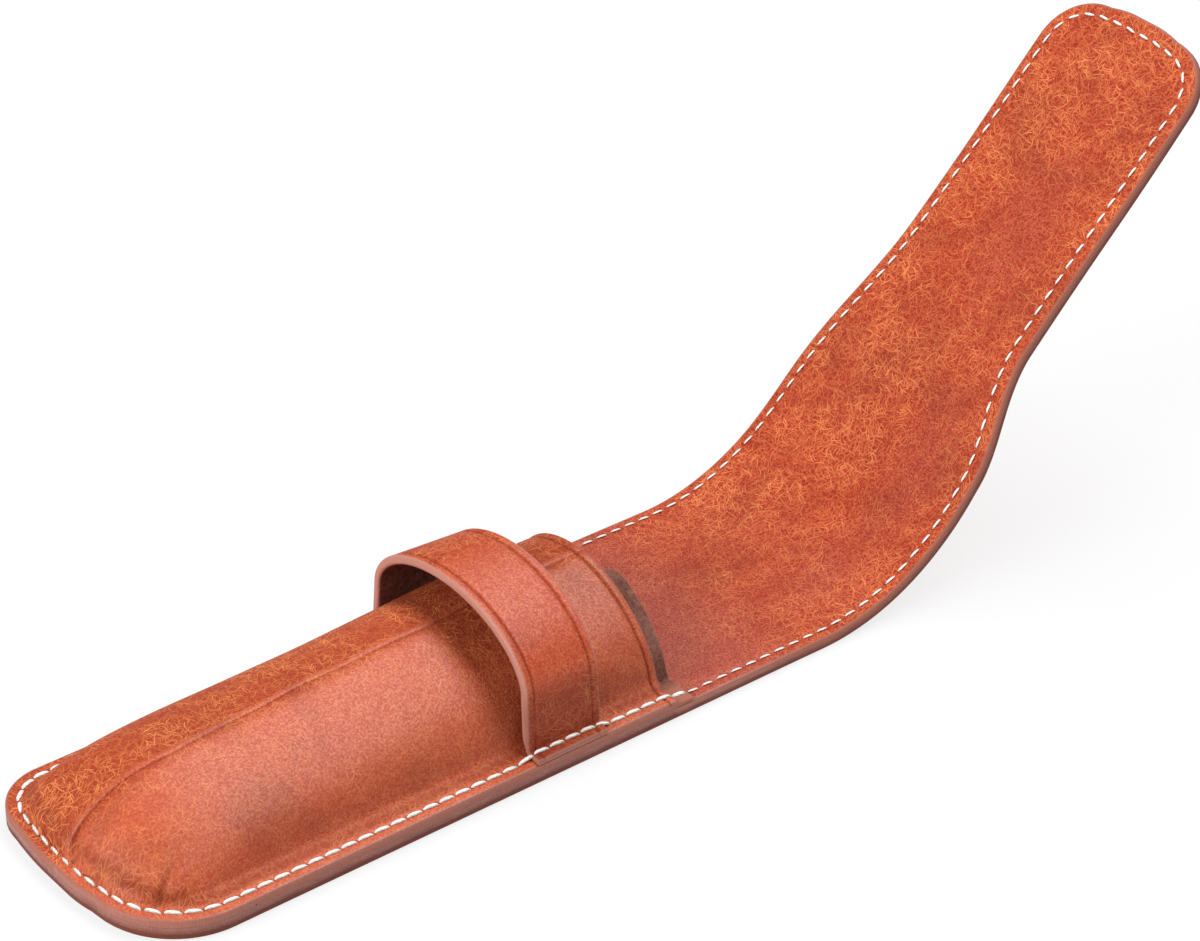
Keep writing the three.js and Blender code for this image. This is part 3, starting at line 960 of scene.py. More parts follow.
@dataclass
class LeatherSheet:
    """One of the two long sheets, in a stiff back, four bending stretches and a tongue."""

    name: str
    grid: SheetGrid
    slot: Slot
    face_up: bool
    bare: tuple[BarePatch, ...] = ()
    edge_radius: float = 0.6
    edge_colour: tuple[float, float] = (0.2, 0.75)
    pressed_flat: tuple[float, float] = (-0.4, 0.6)
    hairs_start: tuple[float, float] = (8.0, 50.0)
    least_hair: float = 0.35
    back_hair: float = 0.8
    hole_shade: float = 0.3
    pattern_step: float = 40.0

    def skin(self, label: str, first: int, last: int) -> Skin:
        """The stretch of the sheet between two rows of the grid.

        Args:
            label: the stretch's name.
            first: first row.
            last: last row.

        Returns:
            The stretch, with its outward face as the skin's face.
        """
        grid, outline = self.grid, self.grid.outline
        rows = slice(first, last + 1)
        x, along = grid.x[rows], grid.along[rows]
        distance, hole = grid.edge_distance[rows], grid.hole_distance[rows]
        upper = 0.0 if self.face_up else -outline.sheet_thickness - outline.sheet_gap
        drop = edge_drop(distance, self.edge_radius) + seam_relief(distance, hole, outline.margin(x, along))
        top = np.full_like(x, upper)
        bottom = top - outline.sheet_thickness
        if self.face_up:
            top = top - drop * smooth(*self.pressed_flat, along)
            brushed = self.least_hair + (1.0 - self.least_hair) * smooth(*self.hairs_start, along)
        else:
            bottom = bottom + drop
            brushed = np.full_like(x, self.back_hair)
        for patch in self.bare:
            brushed = brushed * patch.left(x, along)
        stack = np.where(along < 0.0, outline.flange_top, outline.lining_face)
        skin = Skin(
            f"{self.name}_leather_{label}",
            face=outline.lift(x, along, top),
            back=outline.lift(x, along, bottom),
            pattern=np.stack([x, along, np.full_like(x, self.pattern_step * upper)], 2),
            edge=1.0 - smooth(*self.edge_colour, distance),
            shade=self.hole_shade * bell(hole, 0.3),
            brushed=brushed,
            level_face=(top + outline.lining_face) / stack,
            level_back=(bottom + outline.lining_face) / stack,
        )
        return skin if self.face_up else skin.turned_over()

    def build(self, material: bpy.types.Material) -> None:
        """Makes every stretch, puts the first and the last on their bodies and bakes the others in place.

        Args:
            material: the sheet's finish.
        """
        rows, outline = self.grid.rows, self.grid.outline
        cuts = [0] + [int(np.argmin(np.abs(rows - place))) for place in outline.cuts] + [len(rows) - 1]
        for index, (first, last) in enumerate(zip(cuts, cuts[1:])):
            label = stretch_label(index, "back")
            piece = self.skin(label, first, last).build(material, material)
            settle(piece, outline, rows[first], rows[last], index)
            if index != len(CHAIN) - 1:
                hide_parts(f"{self.name}_{label.replace('fold', 'bend')}")
            log.info("%s", piece.name)


def stretch_label(index: int, first: str) -> str:
    """Names a stretch: the first one, one of the folds or the tongue."""
    return {0: first, len(CHAIN): "tongue"}.get(index, f"fold_{index}")


def settle(piece: bpy.types.Object, outline: Outline, start: float, end: float, index: int) -> None:
    """Rides a stretch on the pocket or the tongue; a stretch with a fold in it only has its transform baked.

    Args:
        piece: the stretch.
        outline: the sheet.
        start: place along the sheet where it starts.
        end: place where it ends.
        index: 0 for the pocket, then the fold's number, and one more for the tongue.
    """
    if index == 0:
        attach(piece, Body.POCKET.value)
    elif index == len(CHAIN):
        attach(piece, Body.TONGUE.value)
    else:
        first, last = outline.middle(start), outline.middle(end)
        CHAIN[index - 1].value
        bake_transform(piece)


def keep_on_pocket(piece: bpy.types.Object, node: str) -> None:
    """Puts a piece on the pocket, in the place of a solid.

    Args:
        piece: the piece.
        node: the solid that it stands for.
    """
    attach(piece, Body.POCKET.value)
    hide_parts(node)
    log.info("%s", piece.name)


@dataclass(frozen=True)
class Pucker:
    """A short crease where the moulded leather was gathered round a corner."""

    start: tuple[float, float]
    end: tuple[float, float]
    depth: float

    def relief(self, x: Array, y: Array) -> tuple[Array, Array]:
        """The crease between its two swellings.

        Args:
            x: places across the case.
            y: places along it.

        Returns:
            Height of the relief and the painted shade along the crease.
        """
        run = np.array(self.end) - np.array(self.start)
        length = np.linalg.norm(run)
        ahead = run / length
        off_x, off_y = x - self.start[0], y - self.start[1]
        share = (off_x * ahead[0] + off_y * ahead[1]) / length
        aside = off_x * -ahead[1] + off_y * ahead[0]
        fade = smooth(-0.1, 0.15, share) * (1.0 - smooth(0.3, 1.0, share))
        swell = 0.6 * bell(aside - 1.6, 1.3) + 0.5 * bell(aside + 1.9, 1.6)
        # The second value is painted shade in the crease.
        return fade * self.depth * (swell - bell(aside, 0.62)), 0.2 * fade * bell(aside, 0.5)


@dataclass
class MouldedFront:
    """The wet-moulded front: a flange, a hollow foot and a dome that closes at the tail."""

    outline: Outline
    grid: SheetGrid
    flange_width: float = 6.4
    tail_flange: float = 2.5
    foot_width: float = 2.9
    foot_height: float = 2.6
    height_mouth: float = 19.4
    height_tail: float = 13.2
    tail_length: float = 35.0
    tail_steepness: float = 3.5
    tail_fullness: float = 0.68
    ridge: float = -1.8
    ridge_end: tuple[float, float] = (-124.0, -121.0)
    ridge_deepens: tuple[float, float] = (-118.0, -108.0)
    ridge_lip: float = 0.8
    near_fullness: float = 1.72
    far_fullness: float = 2.36
    mouth_crease: float = 2.0
    foot_columns: int = 6
    dome_columns: int = 44
    ridge_insets: tuple[float, ...] = (1.8, 1.35, 1.0, 0.72, 0.5, 0.32, 0.18, 0.08, 0.0)
    least_row_gap: float = 0.2
    edge_radius: float = 0.6
    edge_colour: tuple[float, float] = (0.2, 0.75)
    skived_bottom: float = 3.62
    divider_tail: float = -101.7
    hollow_inset: float = 4.9
    far_side: tuple[float, float] = (2.0, -3.0)
    tail_end: tuple[float, float] = (-92.0, -114.0)
    wall_heights: tuple[float, float] = (8.0, 20.0)
    # Where the painted shadow beside the strap lies.
    strap_shadow_tail: tuple[float, float] = (-42.0, -36.5)
    strap_shadow_mouth: tuple[float, float] = (-20.0, -16.0)
    strap_shadow_side: tuple[float, float] = (4.0, 20.0)
    darkest: float = 0.8
    pattern_offset: float = 90.0
    puckers: tuple[Pucker, ...] = (
        Pucker((20.8, -117.8), (15.0, -108.5), 0.5),
        Pucker((-17.5, -118.5), (-11.0, -108.0), 0.4),
    )

    def height(self, y: Array) -> Array:
        """The dome's height over the flange along its ridge.

        Args:
            y: places along the case.

        Returns:
            Height at each place.
        """
        foot = self.tail_flange - self.outline.pocket_length
        ramp = self.height_tail + (self.height_mouth - self.height_tail) * (y - foot) / -foot
        into = np.clip((foot + self.tail_length - y) / self.tail_length, 0.0, 1.0)
        return ramp * (1.0 - into**self.tail_steepness) ** self.tail_fullness

    def half(self, y: Array, side: Side) -> Array:
        """The dome's width from the middle line to one side.

        Args:
            y: places along the case.
            side: the near or the far side.

        Returns:
            Width at each place.
        """
        outline = self.outline
        body = outline.body_width / 2
        radius = side.tail_radius - self.flange_width
        from_tail = y + outline.pocket_length - self.tail_flange
        plan = outline.rounded_end(from_tail, body - self.flange_width, radius)
        return np.minimum(plan, outline.half_width(y, side) * (1.0 - self.flange_width / body))

    def ridge_line(self, y: Array) -> Array:
        """Where the ridge runs, a little unsteadily, in x."""
        return self.ridge + 0.3 * np.sin(y * 0.11) + 0.15 * np.sin(y * 0.31 + 1.0)

    def side(self, y: Array, side: Side) -> tuple[Array, Array, Array]:
        """One side of the cross-sections, from the cut edge to the ridge.

        Args:
            y: the rows' places.
            side: the near or the far side.

        Returns:
            x, height over the flange and distance from the ridge, a row for each place.
        """
        edge = self.outline.half_width(y, side)[:, None]
        half = self.half(y, side)[:, None]
        height = self.height(y)[:, None]
        full_half = self.outline.body_width / 2 - self.flange_width
        ridge = self.ridge_line(y)[:, None] * side.sign * half / full_half
        foot_edge = half + (edge - half) * self.foot_width / self.flange_width
        flange = edge - (edge - foot_edge) * np.array(EDGE_INSETS) / EDGE_INSETS[-1]
        fullness = self.near_fullness if side.sign > 0 else self.far_fullness
        foot_share = self.foot_height / self.height_mouth
        start = math.acos(rise(np.array(foot_share), fullness))
        by_ridge = np.array(self.ridge_insets) / full_half
        angle = np.linspace(start, math.acos(by_ridge[0]), self.dome_columns)[:-1]
        share = np.concatenate([np.cos(angle), by_ridge])
        off_ridge = share * (half - ridge)
        dome_x = ridge + off_ridge
        dome_z = height * rise(share, fullness)
        turn = np.linspace(0.0, math.pi / 2, self.foot_columns + 1)[1:-1]
        foot_x = foot_edge + (dome_x[:, :1] - foot_edge) * np.sin(turn)
        foot_z = dome_z[:, :1] * (1.0 - np.cos(turn))
        x = np.concatenate([flange, foot_x, dome_x], 1)
        z = np.concatenate([np.zeros_like(flange), foot_z, dome_z], 1)
        off = np.concatenate([x[:, : -len(share)], off_ridge], 1)
        return side.sign * x, z, side.sign * off

    def surface(self) -> tuple[Array, Array]:
        """The outer surface without its fine relief.

        Returns:
            The grid of points, and each point's distance from the ridge.
        """
        places = self.outline.places()
        inside = places[places < -CREASE_INSETS[-1] - self.least_row_gap]
        y = np.concatenate([inside, -np.array(CREASE_INSETS)[::-1]])
        far, near = self.side(y, self.outline.far), self.side(y, self.outline.near)
        x, z, off_ridge = (np.concatenate([left, right[:, -2::-1]], 1) for left, right in zip(far, near))
        base = np.stack([x, np.repeat(y[:, None], x.shape[1], 1), self.outline.flange_top + z], 2)
        return base, off_ridge

    def relief(self, base: Array, off_ridge: Array) -> tuple[Array, Array]:
        """Creases, puckers and hollows of the moulded leather.

        Args:
            base: the outer surface.
            off_ridge: distance of each point from the ridge.

        Returns:
            Height of the relief and the painted shade in its creases.
        """
        x, y, z = (base[..., axis] for axis in range(3))
        at_tail = 1.0 - smooth(*self.ridge_deepens, y)
        depth = smooth(*self.ridge_end, y) * (0.20 + 0.05 * np.sin(y * 0.23) + 0.10 * at_tail)
        lips = 0.25 * bell(off_ridge - 0.75, 0.5) + 0.7 * bell(off_ridge + self.ridge_lip, 0.55)
        height = depth * (lips - bell(off_ridge, 0.22)) - 0.3 * bell(y + self.mouth_crease, 0.3)
        # Painted shade: the ridge crease, the mouth crease and the puckers are darkened.
        shade = 1.7 * depth * bell(off_ridge, 0.15) + 0.5 * bell(y + self.mouth_crease, 0.28)
        for pucker in self.puckers:
            fold, painted_shade = pucker.relief(x, y)
            height = height + fold
            shade = shade + painted_shade
        height = height + 0.22 * np.sin(y * 0.09 + x * 0.12) * smooth(6.0, 12.0, z)
        return height, np.minimum(shade, self.darkest)

    def hair_and_painted_shade(self, base: Array, off_ridge: Array, hollow: Array) -> tuple[Array, Array]:
        """Where hairs stand up, and the painted shade on the front.

        Args:
            base: the outer surface.
            off_ridge: distance of each point from the ridge.
            hollow: up to 1 in the foot's hollow.

        Returns:
            Amount of hair and of painted shade.
        """
        x, y, z = (base[..., axis] for axis in range(3))
        far = smooth(*self.far_side, x)
        tail = smooth(*self.tail_end, y)
        # Painted shadow: a band beside the strap's tail edge is darkened and given more hair, whose darker
        # ground adds to the shadow.
        by_strap = smooth(*self.strap_shadow_tail, y) * (1.0 - smooth(*self.strap_shadow_mouth, y))
        strap_shadow = by_strap * (1.0 - smooth(*self.strap_shadow_side, x))
        brushed = np.clip(0.45 + 0.55 * far + 0.1 * tail + 0.45 * strap_shadow + 0.3 * hollow, 0.0, 1.0)
        # Painted highlight: the ridge's far lip loses hair, so it shows lighter and smoother.
        lip_highlight = 0.6 * bell(off_ridge + self.ridge_lip, 0.7)
        # Painted shade, partly the leather's own darker stain: the low near wall is darker towards the foot.
        # The far side is painted a little darker, and its added hair darkens its ground further.
        low_wall_shade = (1.0 - smooth(*self.wall_heights, z)) * (1.0 - 0.7 * tail) * (1.0 - far)
        on_dome = smooth(1.0, 4.0, z - self.outline.flange_top)
        return brushed * (1.0 - lip_highlight), (0.2 * strap_shadow + 0.05 * far + 0.28 * low_wall_shade) * on_dome

    def build(self, finishes: Finishes) -> None:
        """Makes the front and puts it on the pocket.

        Args:
            finishes: the materials.
        """
        outline = self.outline
        base, off_ridge = self.surface()
        x, y, over_flange = base[..., 0], base[..., 1], base[..., 2] - outline.flange_top
        distance = nearest(outline.boundary(-1), base[..., :2])
        distance[:, [0, -1]] = 0.0
        distance[0, :] = 0.0
        hole = nearest(self.grid.holes, base[..., :2])
        cut = np.minimum(distance, -y)
        normal = normals(base)
        relief, crease = self.relief(base, off_ridge)
        low = 1.0 - smooth(1.2, 4.0, over_flange)
        seam = seam_relief(distance, hole, outline.margin(x, y)) * low
        out = relief * smooth(0.0, 1.5, cut) - seam - edge_drop(cut, self.edge_radius)
        back = base - normal * outline.front_thickness
        skived = (x > 0) & (y > self.divider_tail) & (back[..., 2] < self.skived_bottom)
        back[..., 2] = np.where(skived, self.skived_bottom, back[..., 2])
        run = lengths_across(base)
        across = run - run[:, [run.shape[1] // 2]]
        hollow = bell(distance - self.hollow_inset, 1.4) * (1.0 - smooth(2.5, 6.0, over_flange))
        # Painted shade: the stitch holes, the creases and the foot's hollow are darkened.
        shade = np.maximum(0.75 * bell(hole, 0.42) * low, crease + 0.35 * hollow)
        brushed, painted_shade = self.hair_and_painted_shade(base, off_ridge, hollow)
        skin = Skin(
            "front_shell_leather",
            face=base + normal * out[..., None],
            back=back,
            pattern=np.stack([across, y, np.full_like(across, self.pattern_offset)], 2),
            edge=1.0 - smooth(*self.edge_colour, cut),
            shade=np.minimum(shade + painted_shade, self.darkest),
            brushed=brushed,
            level_face=np.ones_like(across),
            level_back=np.full_like(across, 0.65),
        )
        keep_on_pocket(skin.build(finishes.moulded, finishes.flesh), "front_shell")


@dataclass
class KeeperStrap:
    """The arched strap that keeps the flap's tongue, sewn down at both feet."""

    outline: Outline
    grid: SheetGrid
    tail_edge: float = -35.4
    mouth_edge: float = -17.2
    foot_thickness: float = 1.0
    thickness: float = 1.9
    bend_edge: float = 26.05
    bend_top_x: float = 25.7
    bend_height: float = 3.2
    spring_tail: float = 17.7
    spring_mouth: float = 14.2
    half: float = 25.1
    top: float = 32.6
    foot_slant: float = 0.8
    edge_radius: float = 0.5
    back_edge_radius: float = 0.35
    edge_colour: tuple[float, float] = (0.2, 0.7)
    crease_inset: float = 2.0
    far_side: tuple[float, float] = (0.0, -9.0)
    hairy_heights: tuple[float, float] = (15.0, 25.0)
    # Where the painted shade on the strap's near side lies.
    low_near_shade_side: tuple[float, float] = (15.0, 20.0)
    low_near_shade_heights: tuple[float, float] = (13.0, 22.0)
    arch_columns: int = 72
    wall_columns: int = 9
    bend_columns: int = 5
    middle_rows: int = 13
    pattern_offset: float = 130.0

    @property
    def foot_top(self) -> float:
        """Height of the sewn feet over the table."""
        return self.outline.flange_top + self.outline.seam_gap + self.foot_thickness

    def section(self, share: float) -> Array:
        """The outer face's cross-section.

        Args:
            share: 0 at the tail edge and 1 at the mouth edge.

        Returns:
            n x 2 points, x and z, from the far foot to the near foot.
        """
        rise_from = self.spring_tail + (self.spring_mouth - self.spring_tail) * share
        body = self.outline.body_width / 2
        sides = []
        for side in (-1, 1):
            foot_x = body - (body - self.bend_edge) * np.array(EDGE_INSETS) / EDGE_INSETS[-1]
            foot = np.stack([side * foot_x, np.full_like(foot_x, self.foot_top)], 1)
            turn = np.linspace(0.0, math.pi / 2, self.bend_columns + 1)[1:]
            bend_x = self.bend_edge + (self.bend_top_x - self.bend_edge) * np.sin(turn)
            bend = np.stack([side * bend_x, self.foot_top + self.bend_height * (1.0 - np.cos(turn))], 1)
            spring = np.array([side * self.half, rise_from])
            wall = bend[-1] + (spring - bend[-1]) * np.linspace(0.0, 1.0, self.wall_columns + 1)[1:-1, None]
            sides.append(np.concatenate([foot, bend, wall]))
        angle = np.linspace(math.pi, 0.0, self.arch_columns + 1)
        arch = np.stack([self.half * np.cos(angle), rise_from + (self.top - rise_from) * np.sin(angle)], 1)
        return np.concatenate([sides[0], arch, sides[1][::-1]])

    def surface(self) -> tuple[Array, Array]:
        """The outer surface without its fine relief.

        Returns:
            The grid of points, and each point's distance from the nearer long edge.
        """
        width = self.mouth_edge - self.tail_edge
        insets = np.array(CREASE_INSETS)
        middle = np.linspace(insets[-1], width - insets[-1], self.middle_rows + 2)[1:-1]
        inset = np.concatenate([insets, middle, width - insets[::-1]])
        sections = np.stack([self.section(place / width) for place in inset])
        x, z = sections[..., 0], sections[..., 1]
        splay = self.foot_slant * smooth(self.bend_top_x, self.outline.body_width / 2, np.abs(x))
        y = (self.tail_edge + inset)[:, None] - splay * (inset[:, None] / width)
        to_edge = np.minimum(inset, width - inset)[:, None]
        return np.stack([x, y, z], 2), np.repeat(to_edge, x.shape[1], 1)

    def build(self, finishes: Finishes) -> None:
        """Makes the strap and puts it on the pocket.

        Args:
            finishes: the materials.
        """
        base, edge_y = self.surface()
        x, z = base[..., 0], base[..., 2]
        normal = normals(base)
        edge_x = self.outline.body_width / 2 - np.abs(x) + 10.0 * smooth(6.0, 7.0, z)
        cut = np.minimum(edge_x, edge_y)
        hole = nearest(self.grid.holes, base[..., :2])
        low = 1.0 - smooth(0.8, 2.5, z - self.foot_top)
        from_crease = edge_y - self.crease_inset
        seam = seam_relief(edge_x, hole, self.outline.pocket_margin) * low
        drop = edge_drop(cut, self.edge_radius) + 0.3 * bell(from_crease, 0.3) + seam
        rising = smooth(0.3, 3.0, z - self.foot_top)
        thick = self.foot_thickness + (self.thickness - self.foot_thickness) * rising
        run = lengths_across(base)
        shade = np.maximum(0.5 * bell(from_crease, 0.26), 0.75 * bell(hole, 0.42) * low)
        # Painted shade: the strap's near side is darker towards its foot.
        low_near_shade = smooth(*self.low_near_shade_side, x) * (1.0 - smooth(*self.low_near_shade_heights, z))
        hairy = 0.5 * (1.0 - smooth(*self.hairy_heights, z)) + 0.55 * smooth(*self.far_side, x)
        skin = Skin(
            "keeper_strap_leather",
            face=base - normal * drop[..., None],
            back=base - normal * (thick - edge_drop(edge_y, self.back_edge_radius))[..., None],
            pattern=np.stack([run - run.mean(), base[..., 1], np.full_like(run, self.pattern_offset)], 2),
            edge=1.0 - smooth(*self.edge_colour, cut),
            shade=np.maximum(shade, 0.4 * low_near_shade),
            brushed=np.clip(0.4 + hairy, 0.0, 0.95),
            level_face=np.ones_like(run),
            level_back=np.full_like(run, 0.6),
        )
        keep_on_pocket(skin.build(finishes.strap, finishes.flesh), "keeper_strap")


@dataclass
class BayDivider:
    """The divider between the bays: a free leg, a turn, a wall along the front and a margin in the seam."""

    front: MouldedFront
    thickness: float = 1.2
    margin_thickness: float = 0.7
    clearance: float = 0.35
    turn_angle: float = 66.0
    turn_radius: float = 6.0
    foot_angle: float = 12.0
    floor_gap: float = 1.2
    mouth_reach: float = 4.1
    mouth_insets: tuple[float, ...] = (1.2, 0.7, 0.4, 0.2, 0.08, 0.0)
    edge_radius: float = 0.35
    edge_colour: tuple[float, float] = (0.1, 0.4)
    margin_colour: tuple[float, float] = (22.0, 25.5)
    rows: int = 60
    pattern_offset: float = 170.0

    def path(self, y: float) -> Array:
        """The middle of the divider's leather in cross-section.

        Args:
            y: place along the case.

        Returns:
            n x 3: x, z and thickness.
        """
        front, outline = self.front, self.front.outline
        body = outline.body_width / 2
        floor = outline.flange_top - outline.front_thickness
        room = self.clearance + self.thickness / 2
        half = body - front.flange_width - outline.front_thickness - room
        height = float(front.height(np.array(min(y, 0.0)))) - room
        ridge = front.ridge * half / (half + room + outline.front_thickness)

        def wall(angle: Array) -> Array:
            """Points under the front.

            Args:
                angle: angles round the front's cross-section, in radians.

            Returns:
                x and z on a new last axis.
            """
            share = np.cos(angle)
            x = ridge + share * (half - ridge)
            return np.stack([x, floor + height * rise(share, front.near_fullness)], -1)

        leave = math.radians(self.turn_angle)
        here, before = wall(np.array(leave)), wall(np.array(leave - 0.01))
        start = math.atan2(here[1] - before[1], here[0] - before[0])
        centre = here + self.turn_radius * np.array([-math.sin(start), math.cos(start)])
        heading = np.linspace(start, math.pi * 1.5, 14)[:, None]
        turn = centre + self.turn_radius * np.concatenate([np.sin(heading), -np.cos(heading)], 1)
        leg = np.linspace((turn[-1, 0], floor + self.floor_gap), turn[-1], 12)[:-1]
        climb = wall(np.linspace(leave, math.radians(self.foot_angle), 30)[1:])
        margin_z = floor + self.margin_thickness / 2
        margin = np.linspace((half + room, margin_z), (body, margin_z), 14)
        middle = np.concatenate([leg, turn[::-1], climb, margin])
        thick = np.full(len(middle), self.thickness)
        thick[-len(margin) :] = self.margin_thickness
        return np.column_stack([middle, thick])

    def build(self, finishes: Finishes) -> None:
        """Makes the divider and puts it on the pocket.

        Args:
            finishes: the materials.
        """
        inner = np.linspace(self.front.divider_tail, self.mouth_reach - 2.0, self.rows)
        y = np.concatenate([inner, self.mouth_reach - np.array(self.mouth_insets)])
        path = np.stack([self.path(place) for place in y])
        middle = np.stack([path[..., 0], np.repeat(y[:, None], path.shape[1], 1), path[..., 1]], 2)
        normal = normals(middle)
        in_seam = np.repeat(path[:1, :, 2] < self.thickness, len(y), 0)
        normal[in_seam] = (0.0, 0.0, 1.0)
        cut = np.repeat((self.mouth_reach - y)[:, None], path.shape[1], 1)
        out = normal * (path[..., 2] / 2 - edge_drop(cut, self.edge_radius))[..., None]
        run = lengths_across(middle)
        at_mouth = 1.0 - smooth(*self.edge_colour, cut)
        skin = Skin(
            "bay_divider_leather",
            face=middle + out,
            back=middle - out,
            pattern=np.stack([run, middle[..., 1], np.full_like(run, self.pattern_offset)], 2),
            edge=np.maximum(at_mouth, smooth(*self.margin_colour, middle[..., 0])),
            shade=np.zeros_like(run),
            brushed=np.full_like(run, 0.5),
            level_face=np.full_like(run, 0.7),
            level_back=np.full_like(run, 0.7),
        )
        keep_on_pocket(skin.build(finishes.flesh, finishes.lining), "bay_divider")


@dataclass(frozen=True)
class StitchForm:
    """How much of a stitch shows: its reach between the holes, its width and its height, as shares."""

    reach: float
    plump: float
    lift: float


@dataclass
class Stitching:
    """The saddle stitches on both faces of the seam."""

    outline: Outline
    strap: KeeperStrap
    divider: BayDivider
    radius: float = 0.48
    seat: float = 0.11
    flap_seat: float = 0.19
    back_seat: float = 0.16
    slant: float = 0.2
    flatness: float = 0.7
    dive: float = 0.45
    segments: int = 8
    proud: StitchForm = StitchForm(reach=0.93, plump=0.95, lift=1.0)
    sunk: StitchForm = StitchForm(reach=0.68, plump=0.6, lift=0.6)

    def one(self) -> tuple[Array, list[tuple[int, ...]]]:
        """One stitch, lying along its first axis, shaped from a sphere.

        Returns:
            Points, in shares of a stitch's length along and in millimetres across and up, and faces.
        """
        bpy.ops.object.select_all(action="DESELECT")
        bpy.ops.mesh.primitive_uv_sphere_add(segments=self.segments, ring_count=self.segments, radius=1.0)
        stitch = bpy.context.active_object
        bpy.ops.object.mode_set(mode="EDIT")
        bpy.ops.mesh.select_all(action="SELECT")
        bpy.ops.transform.rotate(value=math.pi / 2, orient_axis="Y", center_override=(0.0, 0.0, 0.0))
        bpy.ops.object.mode_set(mode="OBJECT")
        points = np.array([vertex.co for vertex in stitch.data.vertices], float)
        # A sphere's points come in another order each run, so they are put in a fixed one.
        order = np.lexsort(points.round(4).T)
        points = points[order]
        rank = np.argsort(order)
        loops = [rank[list(polygon.vertices)] for polygon in stitch.data.polygons]
        faces = sorted(tuple(np.roll(loop, -loop.argmin()).tolist()) for loop in loops)
        bpy.data.objects.remove(stitch)
        share = np.clip(points[:, 0], -1.0, 1.0)
        sphere = np.maximum(np.sqrt(1.0 - share**2), 1e-3)
        swell = np.sqrt(np.maximum(1.0 - np.abs(share) ** 3.2, 0.0)) / sphere
        swell = np.where(np.abs(share) > 0.999, 0.0, swell)
        across = points[:, 1] * swell * self.radius
        up = points[:, 2] * swell * self.radius * self.flatness - self.dive * np.abs(share) ** 4
        return np.stack([share / 2, across, up], 1), faces

    def level(self, place: Array) -> Array:
        """How far the thread's middle stands over the lining at each place.

        Args:
            place: n x 2 places, x and along.

        Returns:
            Height at each place.
        """
        x, along = place[:, 0], place[:, 1]
        outline, strap = self.outline, self.strap
        on_strap = (along > strap.tail_edge) & (along < strap.mouth_edge)
        layer = np.where(on_strap, strap.foot_top, outline.flange_top) - outline.lining_face
        on_divider = (x > 0) & (along < outline.pitch)
        margin = outline.seam_gap + self.divider.margin_thickness
        flap = np.where(on_divider, margin + self.seat, self.flap_seat)
        return np.where(along < 0.0, layer + self.seat, flap)

    def build(self, finishes: Finishes) -> None:
        """Makes every run of stitches on both faces, puts the first and the last on their bodies and bakes
        the others in place.

        Args:
            finishes: the materials.
        """
        shape, faces = self.one()
        rounds = [self.outline.holes(end) for end in (1, -1)]
        start = np.concatenate([holes[:-1] for holes in rounds])
        end = np.concatenate([holes[1:] for holes in rounds])
        along = (start + end)[:, 1] / 2
        cuts = [-math.inf, *self.outline.cuts, math.inf]
        for index, (first, last) in enumerate(zip(cuts, cuts[1:])):
            mine = (along > first) & (along < last)
            label = stretch_label(index, "pocket")
            for side, face in (("upper", 1), ("back", -1)):
                piece = self.run(f"{side}_stitches_{label}", start[mine], end[mine], face, shape, faces)
                piece.data.materials.append(finishes.thread)
                settle(piece, self.outline, first, last, index)
                if face > 0:
                    self.replace(piece, index)
                log.info("%s", piece.name)

    def replace(self, piece: bpy.types.Object, index: int) -> None:
        """Hides the thread nodes that a run on the upper face stands for.

        Args:
            piece: the run; not used.
            index: number of its stretch, from the pocket.
        """
        nodes = {0: ["thread_pocket"], len(CHAIN): ["thread_tongue"]}
        bends = [f"thread_near_{index}", f"thread_far_{index}"] if 0 < index < len(CHAIN) - 1 else []
        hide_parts(*nodes.get(index, bends))

    def run(
        self, name: str, start: Array, end: Array, face: int, shape: Array, faces: list[tuple[int, ...]]
    ) -> bpy.types.Object:
        """Copies the one stitch along a run of the seam.

        Args:
            name: the run's name.
            start: holes where the stitches start.
            end: holes where they end.
            face: 1 for the upper face, -1 for the back.
            shape: one stitch's points.
            faces: one stitch's faces.

        Returns:
            The run as one object.
        """
        middle = (start + end) / 2
        ahead = end - start
        length = np.linalg.norm(ahead, axis=1, keepdims=True)
        ahead = ahead / length
        right = np.stack([ahead[:, 1], -ahead[:, 0]], 1)
        is_sunk = (middle[:, 1] > self.outline.pitch)[:, None] | (face < 0)
        reach = np.where(is_sunk, self.sunk.reach, self.proud.reach)
        plump = np.where(is_sunk, self.sunk.plump, self.proud.plump)
        lift = np.where(is_sunk, self.sunk.lift, self.proud.lift)
        aside = shape[:, 1] * plump + shape[:, 0] * 2.0 * self.slant * plump
        forward = shape[:, 0] * length * reach
        flat = middle[:, None] + ahead[:, None] * forward[..., None] + right[:, None] * aside[..., None]
        up = shape[:, 2] * plump * lift
        if face > 0:
            first, last = (self.level(middle + ahead * length * share)[:, None] for share in (-0.45, 0.45))
            height = first + (last - first) * (shape[:, 0] + 0.5) + up
        else:
            height = self.back_seat - self.outline.lining_face - up
        points = self.outline.lift(flat[..., 0], flat[..., 1], height).reshape(-1, 3) * MM
        # Ahead, right and up are a left-handed set, so the upper stitches' faces are turned to point out.
        winding = faces if face < 0 else [one[::-1] for one in faces]
        offsets = range(0, len(points), len(shape))
        every = [tuple(corner + offset for corner in one) for offset in offsets for one in winding]
        mesh = bpy.data.meshes.new(name)
        mesh.from_pydata(points.tolist(), [], every)
        mesh.polygons.foreach_set("use_smooth", [True] * len(mesh.polygons))
        turn = np.arctan2(shape[:, 2], shape[:, 1])
        number = np.arange(len(middle))[:, None] * 3.0
        pattern = np.stack(np.broadcast_arrays(forward, turn, number), 2)
        attribute = mesh.attributes.new("pattern", "FLOAT_VECTOR", "POINT")
        attribute.data.foreach_set("vector", pattern.astype(np.float32).ravel())
        piece = bpy.data.objects.new(name, mesh)
        bpy.context.scene.collection.objects.link(piece)
        return piece


